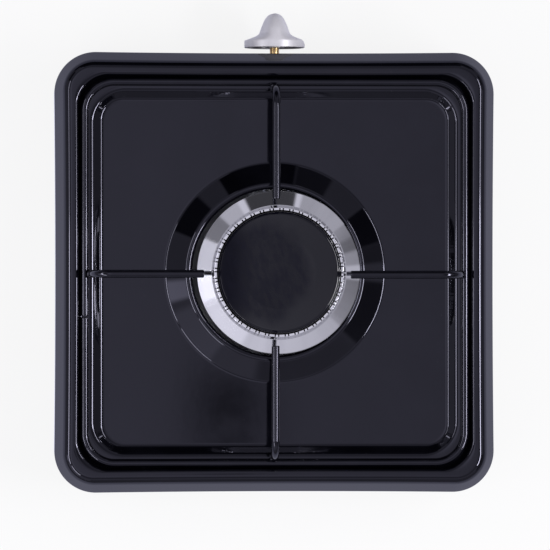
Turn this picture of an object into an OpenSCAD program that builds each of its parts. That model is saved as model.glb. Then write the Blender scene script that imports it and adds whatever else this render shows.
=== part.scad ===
// Single-burner tabletop gas hob: pressed square enamelled body with a drip tray,
// wire pan support, aluminium burner with an enamelled cap, and a front gas tap.
// Origin: centre of the footprint, on the surface it stands on. +Z up, knob at -Y.

/* [Body shell] */
// Outside width and depth of the square body at its foot
body_w = 280; // [270:1:290]
// How much each side leans in between foot and shoulder
side_draft = 0.6; // [0.3:0.1:1]
// How much each side bows in at its middle
side_bow = 0.7; // [0:0.1:1]
// Corner radius of the body in plan
body_corner_r = 24; // [22:1:26]
// Thickness of the enamelled sheet
sheet_t = 0.8; // [0.7:0.1:1]
// Height of the flat rim above the table
rim_z = 74; // [72:1:76]
// Width of the shoulder in plan, from the body's side to the flat rim
shoulder_w = 9.7; // [9:0.1:10]
// Slope of the shoulder
shoulder_slope = 60; // [55:1:62]
// Radius of the press bend between shoulder and rim
shoulder_bend_r = 3.7; // [3:0.1:4]
// Width of the flat rim
rim_w = 4; // [3.5:0.1:5]
// Depth of the ledge that carries the wire ring, below the rim
ledge_drop = 6.5; // [6:0.5:8]
// Depth of the drip tray floor below the rim
tray_drop = 11.6; // [11:0.1:13]
// Height of the bottom edge of the body above the table
skirt_z = 8; // [7:1:10]

/* [Burner opening] */
// Radius where the raised collar leaves the tray floor
collar_foot_r = 69.4; // [66:0.2:72]
// Radius of the collar's crest
collar_crest_r = 54.6; // [54:0.2:56]
// Height of the collar above the tray floor
collar_h = 9.5; // [8:0.5:10]

/* [Pan support] */
// Wire diameter of the ring and the fingers
wire_d = 5; // [4.5:0.1:5.5]
// Centreline half width of the wire ring
ring_half = 120.7; // [120:0.1:121]
// Centreline corner radius of the wire ring
ring_corner_r = 19; // [17:1:21]
// Height of the pan surface above the table
pan_z = 99.5; // [97:0.5:102]
// Distance of the finger tips from the middle
finger_tip_r = 46.1; // [45:0.1:50]
// Centreline radius of the bend in each finger
finger_bend_r = 12; // [10:1:14]

/* [Burner] */
// Sideways offset of the burner from the middle of the body
burner_x = -2; // [-2:0.1:0]
// Outside radius of the crown's polished skirt
crown_skirt_r = 51.5; // [50:0.1:51.6]
// Outside radius of the ring of flame teeth
teeth_r = 41; // [40:0.2:42]
// Number of flame slot pairs around the crown
slot_pairs = 40; // [30:1:44]
// Radius of the enamelled cap
cap_r = 38.8; // [38:0.1:39.2]
// Thickness of the enamelled cap
cap_t = 5; // [4:0.5:6]

/* [Tap and knob] */
// Sideways offset of the tap from the middle of the body
tap_x = -1.1; // [-2:0.1:0]
// Height of the tap spindle above the table
tap_z = 38; // [36:1:40]
// Diameter of the tap spindle
spindle_d = 6; // [5.8:0.1:6.2]
// Diameter of the knob's skirt
knob_d = 38.6; // [36:0.2:40]
// Length of the knob along the spindle
knob_len = 22; // [20:1:24]
// Gap between the knob and the front of the body
knob_gap = 4.7; // [4:0.1:6]
// Travel of the knob when it is pushed in
push_travel = 2.5; // [2:0.5:3]

/* [Gas inlet] */
// Outside diameter of the inlet pipe
pipe_d = 8; // [7:0.5:9]
// Outside radius of the hose nozzle's ribs
nozzle_r = 4.75; // [4.5:0.05:5]
// Sideways place of the inlet, from the middle
inlet_x = 60; // [55:1:65]

/* [Feet] */
// Diameter of each rubber foot
foot_d = 18; // [16:1:20]
// Sideways and fore-and-aft place of each foot, from the middle
foot_pos = 122; // [121:0.5:123]

/* [Hidden] */
$fn = 64;

enamel = [0.13, 0.13, 0.16];
polished = [0.82, 0.82, 0.84];
cast_alu = [0.66, 0.67, 0.69];
zinc = [0.72, 0.73, 0.75];
brass = [0.74, 0.58, 0.32];
silver_plastic = [0.74, 0.74, 0.78];
black_rubber = [0.08, 0.08, 0.08];

half = body_w / 2;
wire_r = wire_d / 2;
ledge_z = rim_z - ledge_drop;
tray_z = rim_z - tray_drop;
crest_z = tray_z + collar_h;
tray_under_z = tray_z - sheet_t;
side_top_half = half - side_draft;
rim_out_half = side_top_half - shoulder_w;
rim_in_half = rim_out_half - rim_w;
ledge_reach = 5;
well_run = 5.3;
ledge_in_half = ring_half - ledge_reach;
floor_half = ledge_in_half - well_run;
hole_r = collar_crest_r - 0.8;

// ---------- generic helpers ----------

// Points of one ring, spread evenly, used for every station of the shell.
arc_n = 10;
side_n = 6;
ring_n = 4 * (arc_n + side_n);

function unit(v) = v / norm(v);
function mix(a, b, t) = a + (b - a) * t;
function turn(p, a) = [p[0] * cos(a) - p[1] * sin(a), p[0] * sin(a) + p[1] * cos(a)];

// Closed solid through rings of points; "open" ends are capped, a looped one is not.
module loft(rings, looped = false) {
    n = len(rings[0]);
    m = len(rings);
    last = looped ? m - 1 : m - 2;
    walls = [
        for (i = [0:last], j = [0:n - 1])
            let (k = (j + 1) % n, up = ((i + 1) % m) * n)
            each [[i * n + j, up + k, i * n + k], [i * n + j, up + j, up + k]]
    ];
    caps = looped ? [] : [
        [for (j = [0:n - 1]) j],
        [for (j = [n - 1:-1:0]) (m - 1) * n + j]
    ];
    polyhedron(points = [for (r = rings) each r], faces = concat(walls, caps));
}

// Flat strip of sheet bent through a list of [y, z] points, w wide along X.
module bent_strip(path, t, w) {
    rotate([90, 0, 90])
        linear_extrude(w, center = true) {
            for (i = [0:len(path) - 2]) {
                a = path[i];
                d = path[i + 1] - a;
                translate(a)
                    rotate(atan2(d[1], d[0]))
                        translate([0, -t / 2])
                            square([norm(d), t]);
            }
            for (i = [1:len(path) - 2])
                translate(path[i])
                    circle(d = t, $fn = 24);
        }
}

module along_y(x, y, z) translate([x, y, z]) rotate([-90, 0, 0]) children();
module at_corners(p) for (sx = [-1, 1], sy = [-1, 1]) translate([sx * p, sy * p, 0]) children();
module tube(r_out, r_in, h) {
    difference() {
        cylinder(r = r_out, h = h);
        translate([0, 0, -1]) cylinder(r = r_in, h = h + 2);
    }
}

// ---------- body shell ----------

// One station of the press profile: [half width or radius, height, corner radius].
// A corner radius of 0 marks a round station, on the burner opening.
foot_flange_w = 14;
flange_corner_r = 40;
foot_bend_r = 1.2;
shoulder_steps = 5;
corner_tightening = 0.94;
rim_corner_r = 20.2;

// Horizontal run and drop of the bend after it has turned by angle a from the rim.
function bend_at(a) = shoulder_bend_r * [sin(a), 1 - cos(a)];

slope_top_half = rim_out_half + bend_at(shoulder_slope)[0];
slope_top_z = rim_z - bend_at(shoulder_slope)[1];
slope_foot_z = slope_top_z - (side_top_half - slope_top_half) * tan(shoulder_slope);

// The corners get tighter from the side of the body towards the rim.
function shoulder_corner_r(h) = body_corner_r - corner_tightening * (side_top_half - h);
function shoulder_station(h, z) = [h, z, shoulder_corner_r(h)];

// The slope from the ledge to the tray floor, with a wide bend at its top and its foot.
ledge_bend_r = 3.5;
tray_bend_r = 3.2;
tray_corner_r = 14;
corner_opening = 1.43;
well_steps = 3;
well_slope = atan2(ledge_z - tray_z, ledge_in_half - floor_half);

function bend_run(r, a) = r * (tan(well_slope / 2) - sin(a));
function well_station(h, z) = [h, z, tray_corner_r + corner_opening * (h - floor_half)];

outer_stations = concat(
    [
        [half - foot_flange_w, skirt_z, flange_corner_r],
        [half - foot_bend_r, skirt_z, body_corner_r - foot_bend_r],
        [half, skirt_z + foot_bend_r, body_corner_r],
        [side_top_half, slope_foot_z - 0.9, body_corner_r],
        shoulder_station(side_top_half - 0.4, slope_foot_z + 0.4 * tan(shoulder_slope))
    ],
    [
        for (i = [shoulder_steps:-1:0])
            let (bend = bend_at(shoulder_slope * i / shoulder_steps))
            shoulder_station(rim_out_half + bend[0], rim_z - bend[1])
    ],
    [
        [rim_in_half + 0.9, rim_z, rim_corner_r + 0.4],
        [rim_in_half + 0.2, rim_z - 0.3, rim_corner_r + 0.2],
        [rim_in_half - 0.1, rim_z - 1.1, rim_corner_r + 0.1],
        [rim_in_half - 0.7, ledge_z + 1.5, rim_corner_r],
        [rim_in_half - 1.2, ledge_z + 0.4, rim_corner_r],
        [rim_in_half - 2.4, ledge_z, rim_corner_r]
    ],
    [
        for (i = [0:well_steps])
            let (a = well_slope * i / well_steps)
            well_station(ledge_in_half + bend_run(ledge_bend_r, a), ledge_z - ledge_bend_r * (1 - cos(a)))
    ],
    [
        for (i = [well_steps:-1:0])
            let (a = well_slope * i / well_steps)
            well_station(floor_half - bend_run(tray_bend_r, a), tray_z + tray_bend_r * (1 - cos(a)))
    ]
);

round_stations = [
    [collar_foot_r + 1.6, tray_z, 0],
    [collar_foot_r - 0.2, tray_z + 0.5, 0],
    [collar_crest_r + 1.6, crest_z - 0.5, 0],
    [collar_crest_r + 0.5, crest_z - 0.05, 0],
    [collar_crest_r - 0.3, crest_z - 0.3, 0],
    [hole_r, crest_z - 1.2, 0],
    [hole_r, crest_z - 3.2, 0]
];

top_profile = concat(outer_stations, round_stations);

// The underside follows the top surface, one sheet thickness below it.
function profile_step(i) =
    let (
        n = len(top_profile),
        a = top_profile[max(i - 1, 0)],
        b = top_profile[i],
        c = top_profile[min(i + 1, n - 1)],
        u = i == 0 ? unit([c[0] - b[0], c[1] - b[1]]) : unit([b[0] - a[0], b[1] - a[1]]),
        v = i == n - 1 ? u : unit([c[0] - b[0], c[1] - b[1]]),
        d = unit(u + v),
        stretch = 1 / max(0.75, u * d)
    )
    [-d[1], d[0]] * sheet_t * stretch;

under_profile = [
    for (i = [len(top_profile) - 1:-1:0])
        let (s = top_profile[i], o = profile_step(i))
        [s[0] + o[0], s[1] + o[1], s[2] == 0 ? 0 : s[2] + o[0]]
];

function bow_at(h) = side_bow * max(0, (h - floor_half) / (half - floor_half));

// One quarter of a rounded square: a corner arc, then the side that follows it.
function quarter(h, r) = concat(
    [for (i = [0:arc_n]) [h - r, h - r] + r * [cos(90 * i / arc_n), sin(90 * i / arc_n)]],
    [
        for (i = [1:side_n - 1])
            let (s = 1 - 2 * i / side_n)
            [s * (h - r), h - bow_at(h) * (1 - s * s)]
    ]
);

function square_ring(s) = [
    for (q = [0:3], p = quarter(s[0], s[2]))
        let (t = turn(p, 90 * q))
        [t[0], t[1], s[1]]
];

function round_ring(s) = [
    for (i = [0:ring_n - 1])
        let (a = 45 + (i - arc_n / 2) * 360 / ring_n)
        [s[0] * cos(a), s[0] * sin(a), s[1]]
];

function shell_ring(s) = s[2] == 0 ? round_ring(s) : square_ring(s);

spindle_hole_r = 4.5;
hose_hole_r = 12;
foot_hole_r = 2.2;

module body_shell() {
    color(enamel)
        difference() {
            loft([for (s = concat(top_profile, under_profile)) shell_ring(s)], looped = true);
            along_y(tap_x, -half - 5, tap_z) cylinder(r = spindle_hole_r, h = 10);
            along_y(inlet_x, half - 5, tap_z) cylinder(r = hose_hole_r, h = 10);
            at_corners(foot_pos)
                translate([0, 0, skirt_z - 1]) cylinder(r = foot_hole_r, h = 4);
        }
}

// ---------- feet ----------

foot_screw_r = 2;
foot_recess_r = 4.6;

module foot(sx, sy) {
    color(black_rubber)
        translate([sx * foot_pos, sy * foot_pos, 0])
            rotate_extrude()
                polygon([
                    [foot_recess_r, 0], [foot_d / 2 - 2, 0], [foot_d / 2 - 1, 0.8],
                    [foot_d / 2, skirt_z - 1], [foot_d / 2 - 0.6, skirt_z],
                    [foot_screw_r + 0.2, skirt_z], [foot_screw_r + 0.2, 3.6], [foot_recess_r, 3.6]
                ]);
}

module foot_front_left() foot(-1, -1);
module foot_front_right() foot(1, -1);
module foot_rear_left() foot(-1, 1);
module foot_rear_right() foot(1, 1);

module foot_screws() {
    color(zinc)
        at_corners(foot_pos) {
            translate([0, 0, 3.6]) cylinder(r = foot_screw_r, h = skirt_z + 2.4 - 3.6 + sheet_t);
            difference() {
                translate([0, 0, 1.4]) cylinder(r = 3.8, h = 2.2);
                for (a = [0, 90])
                    rotate(a) translate([-2.6, -0.4, 1]) cube([5.2, 0.8, 1.4]);
            }
            translate([0, 0, skirt_z + sheet_t]) rotate(30) cylinder(r = 4, h = 2.4, $fn = 6);
        }
}

// ---------- pan support ----------

ring_z = ledge_z + wire_r;
joint_gap = 0.7;
joint_y = 28;
straight = ring_half - ring_corner_r;

module ring_side(from_y, to_y, shift = 0) {
    along_y(ring_half + shift, from_y, ring_z) cylinder(r = wire_r, h = to_y - from_y, $fn = 32);
}

module support_ring() {
    color(enamel) {
        for (q = [0:3])
            rotate(90 * q)
                translate([straight, straight, ring_z])
                    rotate_extrude(angle = 90)
                        translate([ring_corner_r, 0]) circle(r = wire_r, $fn = 32);
        for (q = [1:3])
            rotate(90 * q) ring_side(-straight, straight);
        ring_side(-straight, joint_y - joint_gap / 2);
        ring_side(joint_y + joint_gap / 2, straight);
    }
}

// Weld sink: how far a finger's leg runs into the ring wire.
weld_sink = 0.3;
finger_z = pan_z - wire_r;
leg_x = ring_half - wire_d + weld_sink;
tip_chamfer = 0.6;

module finger(side_shift) {
    color(enamel)
        translate([0, side_shift, 0]) {
            translate([leg_x, 0, ledge_z + 0.3])
                cylinder(r = wire_r, h = finger_z - finger_bend_r - ledge_z - 0.3, $fn = 32);
            translate([leg_x - finger_bend_r, 0, finger_z - finger_bend_r])
                rotate([90, 0, 0])
                    rotate_extrude(angle = 90)
                        translate([finger_bend_r, 0]) circle(r = wire_r, $fn = 32);
            translate([finger_tip_r + tip_chamfer, 0, finger_z])
                rotate([0, 90, 0])
                    cylinder(r = wire_r, h = leg_x - finger_bend_r - finger_tip_r - tip_chamfer, $fn = 32);
            translate([finger_tip_r, 0, finger_z])
                rotate([0, 90, 0])
                    cylinder(r1 = wire_r - tip_chamfer, r2 = wire_r, h = tip_chamfer, $fn = 32);
        }
}

module finger_right() finger(0.9);
module finger_rear() rotate(90) finger(-0.6);
module finger_left() rotate(180) finger(-1.8);
module finger_front() rotate(-90) finger(0);

// ---------- burner ----------

cup_top_z = tray_z + 4;
teeth_top_z = cup_top_z + 14;
spigot_r = 36;
spigot_wall = 2;
crown_edge_z = crest_z + 0.4;
skirt_top_r = teeth_r + 1.2;

// The skirt starts just below the floor of the slots, so that each slot opens over it.
port_drop = 2.9;
slot_h = port_drop + 0.2;

module crown_blank() {
    rotate_extrude($fn = 96)
        polygon([
            [spigot_r - spigot_wall, cup_top_z - 4],
            [spigot_r, cup_top_z - 4],
            [spigot_r, cup_top_z],
            [spigot_r + 3, cup_top_z],
            [spigot_r + 3, crown_edge_z],
            [crown_skirt_r - 3, crown_edge_z - 1],
            [crown_skirt_r - 0.6, crown_edge_z - 1],
            [crown_skirt_r, crown_edge_z - 0.4],
            [crown_skirt_r - 0.3, crown_edge_z + 0.2],
            [skirt_top_r + 0.5, teeth_top_z - port_drop - 0.3],
            [skirt_top_r - 0.4, teeth_top_z - port_drop],
            [teeth_r, teeth_top_z - port_drop + 0.2],
            [teeth_r, teeth_top_z],
            [spigot_r + 0.4, teeth_top_z],
            [spigot_r - spigot_wall + 0.4, teeth_top_z - slot_h - 0.6]
        ]);
}

module slot(width, depth) {
    translate([spigot_r - spigot_wall, -width / 2, teeth_top_z - depth])
        cube([skirt_top_r + 0.6 - spigot_r + spigot_wall, width, depth + 1]);
}

module burner_crown() {
    color(polished)
        translate([burner_x, 0, 0])
            difference() {
                crown_blank();
                for (i = [0:slot_pairs - 1])
                    rotate(360 * i / slot_pairs) {
                        slot(0.8, slot_h);
                        rotate(360 / slot_pairs * 0.36) slot(0.8, slot_h);
                    }
            }
}

cap_ring_r = spigot_r - spigot_wall - 0.4;

module burner_cap() {
    color(enamel)
        translate([burner_x, 0, teeth_top_z])
            rotate_extrude($fn = 96)
                polygon(concat(
                    [
                        [0, 0.9], [cap_ring_r - 1.8, 0.9], [cap_ring_r - 1.8, -3.4],
                        [cap_ring_r, -3.4], [cap_ring_r, 0], [cap_r - 0.5, 0]
                    ],
                    [for (a = [0:15:75]) [cap_r - 2.6 + 2.6 * cos(a), cap_t - 3.2 + 2.6 * sin(a)]],
                    [[cap_r - 3.4, cap_t - 0.5], [cap_r * 0.6, cap_t - 0.15], [0, cap_t]]
                ));
}

bracket_t = 1.5;
strip_z = 24;
cup_floor_z = strip_z + bracket_t;
cup_wall = 1.8;
tube_r = 9.5;
tube_bore_r = 8;
boss_r = 12.5;
boss_y = -41;
screw_x = 11;
screw_hole_r = 1.7;

module burner_cup() {
    color(cast_alu)
        difference() {
            translate([burner_x, 0, 0])
                union() {
                    rotate_extrude()
                        polygon([
                            [0, cup_floor_z],
                            [28, cup_floor_z],
                            [36, cup_floor_z + 6],
                            [spigot_r + 2, cup_top_z - 6],
                            [spigot_r + 5, cup_top_z - 3],
                            [spigot_r + 5, cup_top_z],
                            [spigot_r + 0.3, cup_top_z],
                            [spigot_r + 0.3, cup_top_z - 5],
                            [spigot_r + 2 - cup_wall - 0.6, cup_top_z - 6],
                            [36 - cup_wall, cup_floor_z + 7],
                            [27, cup_floor_z + 2.4],
                            [0, cup_floor_z + 2.4]
                        ]);
                    along_y(0, boss_y, tap_z) cylinder(r = boss_r, h = 9);
                }
            along_y(burner_x, boss_y - 1, tap_z) cylinder(r = tube_r, h = 5);
            along_y(burner_x, boss_y + 3, tap_z) cylinder(r = tube_bore_r, h = 14);
            for (s = [-1, 1])
                translate([burner_x + s * screw_x, 0, cup_floor_z - 1]) cylinder(r = screw_hole_r, h = 6);
        }
}

tube_mouth_y = -90;

module mixing_tube() {
    color(zinc)
        along_y(burner_x, tube_mouth_y, tap_z)
            rotate_extrude()
                polygon([
                    [tube_bore_r, 6], [10.4, 0.4], [11, 0], [12, 0], [12, 1],
                    [tube_r, 7], [tube_r, boss_y + 4 - tube_mouth_y], [tube_bore_r, boss_y + 4 - tube_mouth_y]
                ]);
}

bracket_w = 34;
leg_front_y = -103;
leg_rear_y = 62;
flange_len = 15;
tap_boss_r = 6;
stud_r = 2;
stud_rows = [leg_front_y + 9, leg_rear_y + 9];

module burner_bracket() {
    color(zinc)
        translate([burner_x, 0, 0])
            difference() {
                bent_strip(
                    [
                        [leg_front_y + flange_len, tray_under_z - bracket_t / 2],
                        [leg_front_y, tray_under_z - bracket_t / 2],
                        [leg_front_y, strip_z + bracket_t / 2],
                        [leg_rear_y, strip_z + bracket_t / 2],
                        [leg_rear_y, tray_under_z - bracket_t / 2],
                        [leg_rear_y + flange_len, tray_under_z - bracket_t / 2]
                    ],
                    bracket_t, bracket_w);
                along_y(tap_x - burner_x, leg_front_y - 3, tap_z) cylinder(r = tap_boss_r + 0.05, h = 6);
                for (s = [-1, 1]) {
                    translate([s * screw_x, 0, strip_z - 1]) cylinder(r = screw_hole_r, h = 4);
                    for (y = stud_rows)
                        translate([s * screw_x, y, tray_under_z - 3]) cylinder(r = stud_r + 0.2, h = 4);
                }
            }
}

module at_studs() {
    for (s = [-1, 1], y = stud_rows)
        translate([burner_x + s * screw_x, y, 0]) children();
}

module bracket_studs() {
    color(zinc)
        at_studs()
            translate([0, 0, tray_under_z - 9]) cylinder(r = stud_r, h = 9);
}

module bracket_nuts() {
    color(zinc)
        at_studs()
            translate([0, 0, tray_under_z - bracket_t - 3.2])
                difference() {
                    cylinder(r = 4, h = 3.2, $fn = 6);
                    translate([0, 0, -1]) cylinder(r = stud_r + 0.05, h = 6);
                }
}

module cup_screws() {
    color(zinc)
        for (s = [-1, 1])
            translate([burner_x + s * screw_x, 0, 0]) {
                translate([0, 0, strip_z]) cylinder(r = 1.6, h = 5.4);
                difference() {
                    translate([0, 0, strip_z - 1.8]) cylinder(r = 3.2, h = 1.8);
                    translate([-3.4, -0.4, strip_z - 2.8]) cube([6.8, 0.8, 1.6]);
                }
            }
}

// ---------- tap ----------

tap_front_y = -132;
tap_back_y = leg_front_y - bracket_t / 2;
tap_len = tap_back_y - tap_front_y;
plug_front_y = -123.5;
plug_len = 16;
plug_r_front = 5.4;
plug_r_back = 4.2;
plug_gap = 0.05;
cavity_r = 5.8;
inlet_boss_len = 14;
gland_t = 1.2;
gland_screw_at = 6.9;
gland_screw_r = 1.2;

// Local frame of the tap: Z runs from its front face towards the burner.
module tap_frame() along_y(tap_x, tap_front_y, tap_z) children();

module tap_body() {
    front = plug_front_y - tap_front_y;
    color(brass)
        tap_frame()
            difference() {
                union() {
                    cylinder(r = 9, h = tap_len);
                    translate([-9, -9, 0]) cube([18, 18, 3]);
                    translate([0, 0, tap_len]) cylinder(r = tap_boss_r, h = 4);
                    translate([0, 0, front + 8]) rotate([0, 90, 0]) cylinder(r = 6.5, h = inlet_boss_len);
                }
                translate([0, 0, -1]) cylinder(r = cavity_r, h = front + 1);
                translate([0, 0, front])
                    cylinder(r1 = plug_r_front + plug_gap, r2 = plug_r_back + plug_gap, h = plug_len);
                translate([0, 0, front + plug_len]) cylinder(r = plug_r_back + plug_gap, h = 1);
                translate([0, 0, front + plug_len]) cylinder(r = 2, h = 20);
                translate([0, 0, tap_len]) cylinder(r = 3.05, h = 6);
                translate([0, 0, front + 8]) rotate([0, 90, 0]) cylinder(r = 2, h = inlet_boss_len + 1);
                for (s = [-1, 1])
                    translate([s, s, 0] * gland_screw_at - [0, 0, 1])
                        cylinder(r = gland_screw_r + 0.1, h = 5);
            }
}

slot_depth = 6.5;
tongue_w = 2;

module tap_plug() {
    color(brass)
        along_y(tap_x, plug_front_y, tap_z)
            difference() {
                cylinder(r1 = plug_r_front, r2 = plug_r_back, h = plug_len);
                translate([-tongue_w / 2 - 0.1, -3.3, -1]) cube([tongue_w + 0.2, 6.6, slot_depth + 1]);
                translate([0, 0, slot_depth + 1]) cylinder(r = 2, h = plug_len);
                translate([0, 0, 9]) rotate([-90, 0, 0]) cylinder(r = 1.4, h = 10);
            }
}

spindle_front_y = -half - knob_gap - 12.5;
collar_y = tap_front_y + 0.1;
collar_len = 1.4;
tongue_reach = 3.4;
rod_end_y = plug_front_y - push_travel - 0.5;

module tap_spindle() {
    color(brass)
        along_y(tap_x, spindle_front_y, tap_z) {
            difference() {
                cylinder(d = spindle_d, h = rod_end_y - spindle_front_y);
                translate([-4, 1.6, -1]) cube([8, 4, 10.5]);
            }
            translate([0, 0, collar_y - spindle_front_y]) cylinder(r = 4.4, h = collar_len);
            intersection() {
                translate([-tongue_w / 2, -3, rod_end_y - spindle_front_y - 1])
                    cube([tongue_w, 6, 1 + plug_front_y + tongue_reach - rod_end_y]);
                cylinder(r = 3, h = 60);
            }
        }
}

// Coil spring between the spindle's collar and the plug.
spring_r = 4.1;
spring_wire_r = 0.35;
spring_turns = 4;
spring_steps = 14;
spring_from = collar_y + collar_len + spring_wire_r + 0.05;
spring_to = plug_front_y - spring_wire_r - 0.05;

function spring_point(t) =
    [spring_r * cos(360 * t), spring_r * sin(360 * t), mix(spring_from, spring_to, t / spring_turns)];

module tap_spring() {
    n = spring_turns * spring_steps;
    rings = [
        for (i = [0:n])
            let (
                t = i / spring_steps,
                c = spring_point(t),
                out = [cos(360 * t), sin(360 * t), 0]
            )
            [for (k = [0:5]) c + spring_wire_r * (out * cos(60 * k) - [0, 0, sin(60 * k)])]
    ];
    color(zinc)
        along_y(tap_x, 0, tap_z) loft(rings);
}

module gland_plate() {
    color(zinc)
        along_y(tap_x, tap_front_y - gland_t, tap_z)
            difference() {
                translate([-9, -9, 0]) cube([18, 18, gland_t]);
                translate([0, 0, -1]) cylinder(r = spindle_d / 2 + 0.06, h = 4);
                for (s = [-1, 1])
                    translate([s, s, 0] * gland_screw_at - [0, 0, 1])
                        cylinder(r = gland_screw_r + 0.1, h = 4);
            }
}

module gland_screws() {
    color(zinc)
        along_y(tap_x, tap_front_y - gland_t, tap_z)
            for (s = [-1, 1])
                translate([s, s, 0] * gland_screw_at) {
                    cylinder(r = gland_screw_r, h = 5);
                    translate([0, 0, -1.5]) cylinder(r = 2.2, h = 1.5);
                }
}

module injector_jet() {
    color(brass)
        along_y(tap_x, tap_back_y + 4, tap_z)
            difference() {
                union() {
                    translate([0, 0, -3.6]) cylinder(r = 3, h = 3.6);
                    cylinder(r = 4.2, h = 3, $fn = 6);
                    translate([0, 0, 3]) cylinder(r1 = 3.2, r2 = 1.6, h = 2.4);
                }
                translate([0, 0, -4]) cylinder(r = 1.6, h = 7.6);
                translate([0, 0, 3]) cylinder(r = 0.35, h = 4);
            }
}

// ---------- knob ----------

knob_back_y = -half - knob_gap;
knob_skirt = 4.9;
knob_wall = 2;
index_r = 3.6;
hub_r = 6.2;
grip_rings = 9;

// Plan of the grip at height t from its root (0) to its tip (1): width and length.
function grip_w(t) = 19.4 - 8.4 * t - 2.6 * t * t;
function grip_l(t) = 34 - 3.5 * t - 2 * t * t;

// Stadium-like outline, n points.
function grip_ring(w, l, z, n = 40) = [
    for (i = [0:n - 1])
        let (a = 360 * (i + 0.5) / n, c = cos(a), s = sin(a), e = 0.72)
        [w / 2 * sign(c) * pow(abs(c), e), l / 2 * sign(s) * pow(abs(s), e), z]
];

// The root flares out over the skirt and the tip is rounded off.
module knob_grip() {
    rise = knob_len - knob_skirt - 1;
    tip = [for (a = [15:15:75]) [1 - 0.26 * (1 - cos(a)) * 2, 1 - 0.16 * (1 - sin(a))]];
    loft(concat(
        [grip_ring(21.5, 35.4, knob_skirt - 0.6), grip_ring(20.2, 34.6, knob_skirt + 1.2)],
        [
            for (i = [0:grip_rings - 1])
                let (t = 0.14 + 0.7 * i / (grip_rings - 1))
                grip_ring(grip_w(t), grip_l(t), knob_skirt + 1 + rise * t)
        ],
        [
            for (p = tip)
                grip_ring(
                    grip_w(0.9) * p[0],
                    grip_l(0.9) - grip_w(0.9) * (1 - p[0]),
                    knob_skirt + 1 + rise * p[1])
        ]
    ));
}

// Rounded-off edge on one side of the skirt, which shows how far the tap is turned.
module index_mark() {
    mark_x = knob_d / 2 - index_r;
    mark_z = knob_skirt + 0.2 - index_r;
    rotate([90, 0, 0])
        linear_extrude(knob_d / 2, center = true)
            difference() {
                translate([-mark_x - index_r - 1, mark_z]) square([index_r + 1, index_r + 4]);
                translate([-mark_x, mark_z]) circle(r = index_r);
            }
}

module knob() {
    color(silver_plastic)
        translate([tap_x, knob_back_y, tap_z])
            rotate([90, 0, 0])
                difference() {
                    union() {
                        rotate_extrude($fn = 72)
                            polygon([
                                [0, 0], [knob_d / 2 - 0.3, 0], [knob_d / 2, 0.4],
                                [knob_d / 2, knob_skirt - 1], [knob_d / 2 - 0.5, knob_skirt - 0.2],
                                [knob_d / 2 - 3.5, knob_skirt + 1],
                                [10, knob_skirt + 3.2], [0, knob_skirt + 3.2]
                            ]);
                        knob_grip();
                    }
                    index_mark();
                    difference() {
                        translate([0, 0, -1])
                            cylinder(r = knob_d / 2 - knob_wall, h = knob_skirt - knob_wall + 1.6);
                        cylinder(r = hub_r, h = 20);
                    }
                    difference() {
                        translate([0, 0, -1]) cylinder(d = spindle_d + 0.1, h = 14);
                        translate([-4, -5.65, 3.5]) cube([8, 4, 12]);
                    }
                }
}

module knob_clip() {
    color(zinc)
        along_y(tap_x, knob_back_y - 2.6, tap_z)
            difference() {
                tube(hub_r + 0.7, hub_r, 2.2);
                translate([-1, 0, -1]) cube([2, 10, 5]);
            }
}

// ---------- gas inlet ----------

pipe_bend_r = 14;
inlet_y = plug_front_y + 8;
boss_end_x = tap_x + inlet_boss_len;
bracket_y = 104;
nozzle_tip_y = half - 6;
pipe_end_y = bracket_y - 9;

module pipe_nut() {
    color(brass)
        translate([boss_end_x, inlet_y, tap_z])
            rotate([0, 90, 0])
                difference() {
                    cylinder(r = 7.4, h = 8, $fn = 6);
                    translate([0, 0, -1]) cylinder(r = pipe_d / 2 + 0.05, h = 12);
                }
}

module inlet_pipe() {
    color(zinc) {
        translate([boss_end_x, inlet_y, tap_z])
            rotate([0, 90, 0])
                tube(pipe_d / 2, pipe_d / 2 - 1, inlet_x - pipe_bend_r - boss_end_x);
        translate([inlet_x - pipe_bend_r, inlet_y + pipe_bend_r, tap_z])
            rotate(-90)
                rotate_extrude(angle = 90)
                    translate([pipe_bend_r, 0])
                        difference() {
                            circle(d = pipe_d);
                            circle(d = pipe_d - 2);
                        }
        along_y(inlet_x, inlet_y + pipe_bend_r, tap_z)
            tube(pipe_d / 2, pipe_d / 2 - 1, pipe_end_y - inlet_y - pipe_bend_r);
    }
}

nozzle_flange_t = 3;
nozzle_flange_y = bracket_y - nozzle_flange_t;
nozzle_bore_r = 2.6;
thread_r = 6;
barb_len = 3.6;
barb_count = 6;
barb_dip = 0.6;

module hose_nozzle() {
    thread_from = nozzle_flange_y - pipe_end_y;
    thread_to = thread_from + 9.5;
    first_barb = nozzle_tip_y - pipe_end_y - barb_count * barb_len;
    color(brass)
        along_y(inlet_x, pipe_end_y, tap_z)
            union() {
                rotate_extrude()
                    polygon(concat(
                        [
                            [nozzle_bore_r, 0], [thread_r, 0],
                            [thread_r, thread_to], [nozzle_r - barb_dip, thread_to]
                        ],
                        [
                            for (i = [0:barb_count - 1])
                                let (z = first_barb + i * barb_len)
                                each [
                                    [nozzle_r - barb_dip, z], [nozzle_r, z], [nozzle_r, z + 1.4],
                                    [nozzle_r - barb_dip, z + barb_len - 0.1]
                                ]
                        ],
                        [[nozzle_bore_r, first_barb + barb_count * barb_len - 0.1]]
                    ));
                translate([0, 0, thread_from])
                    rotate(30)
                        difference() {
                            cylinder(r = 8, h = nozzle_flange_t, $fn = 6);
                            translate([0, 0, -1]) cylinder(r = thread_r - 1, h = nozzle_flange_t + 2);
                        }
            }
}

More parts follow.
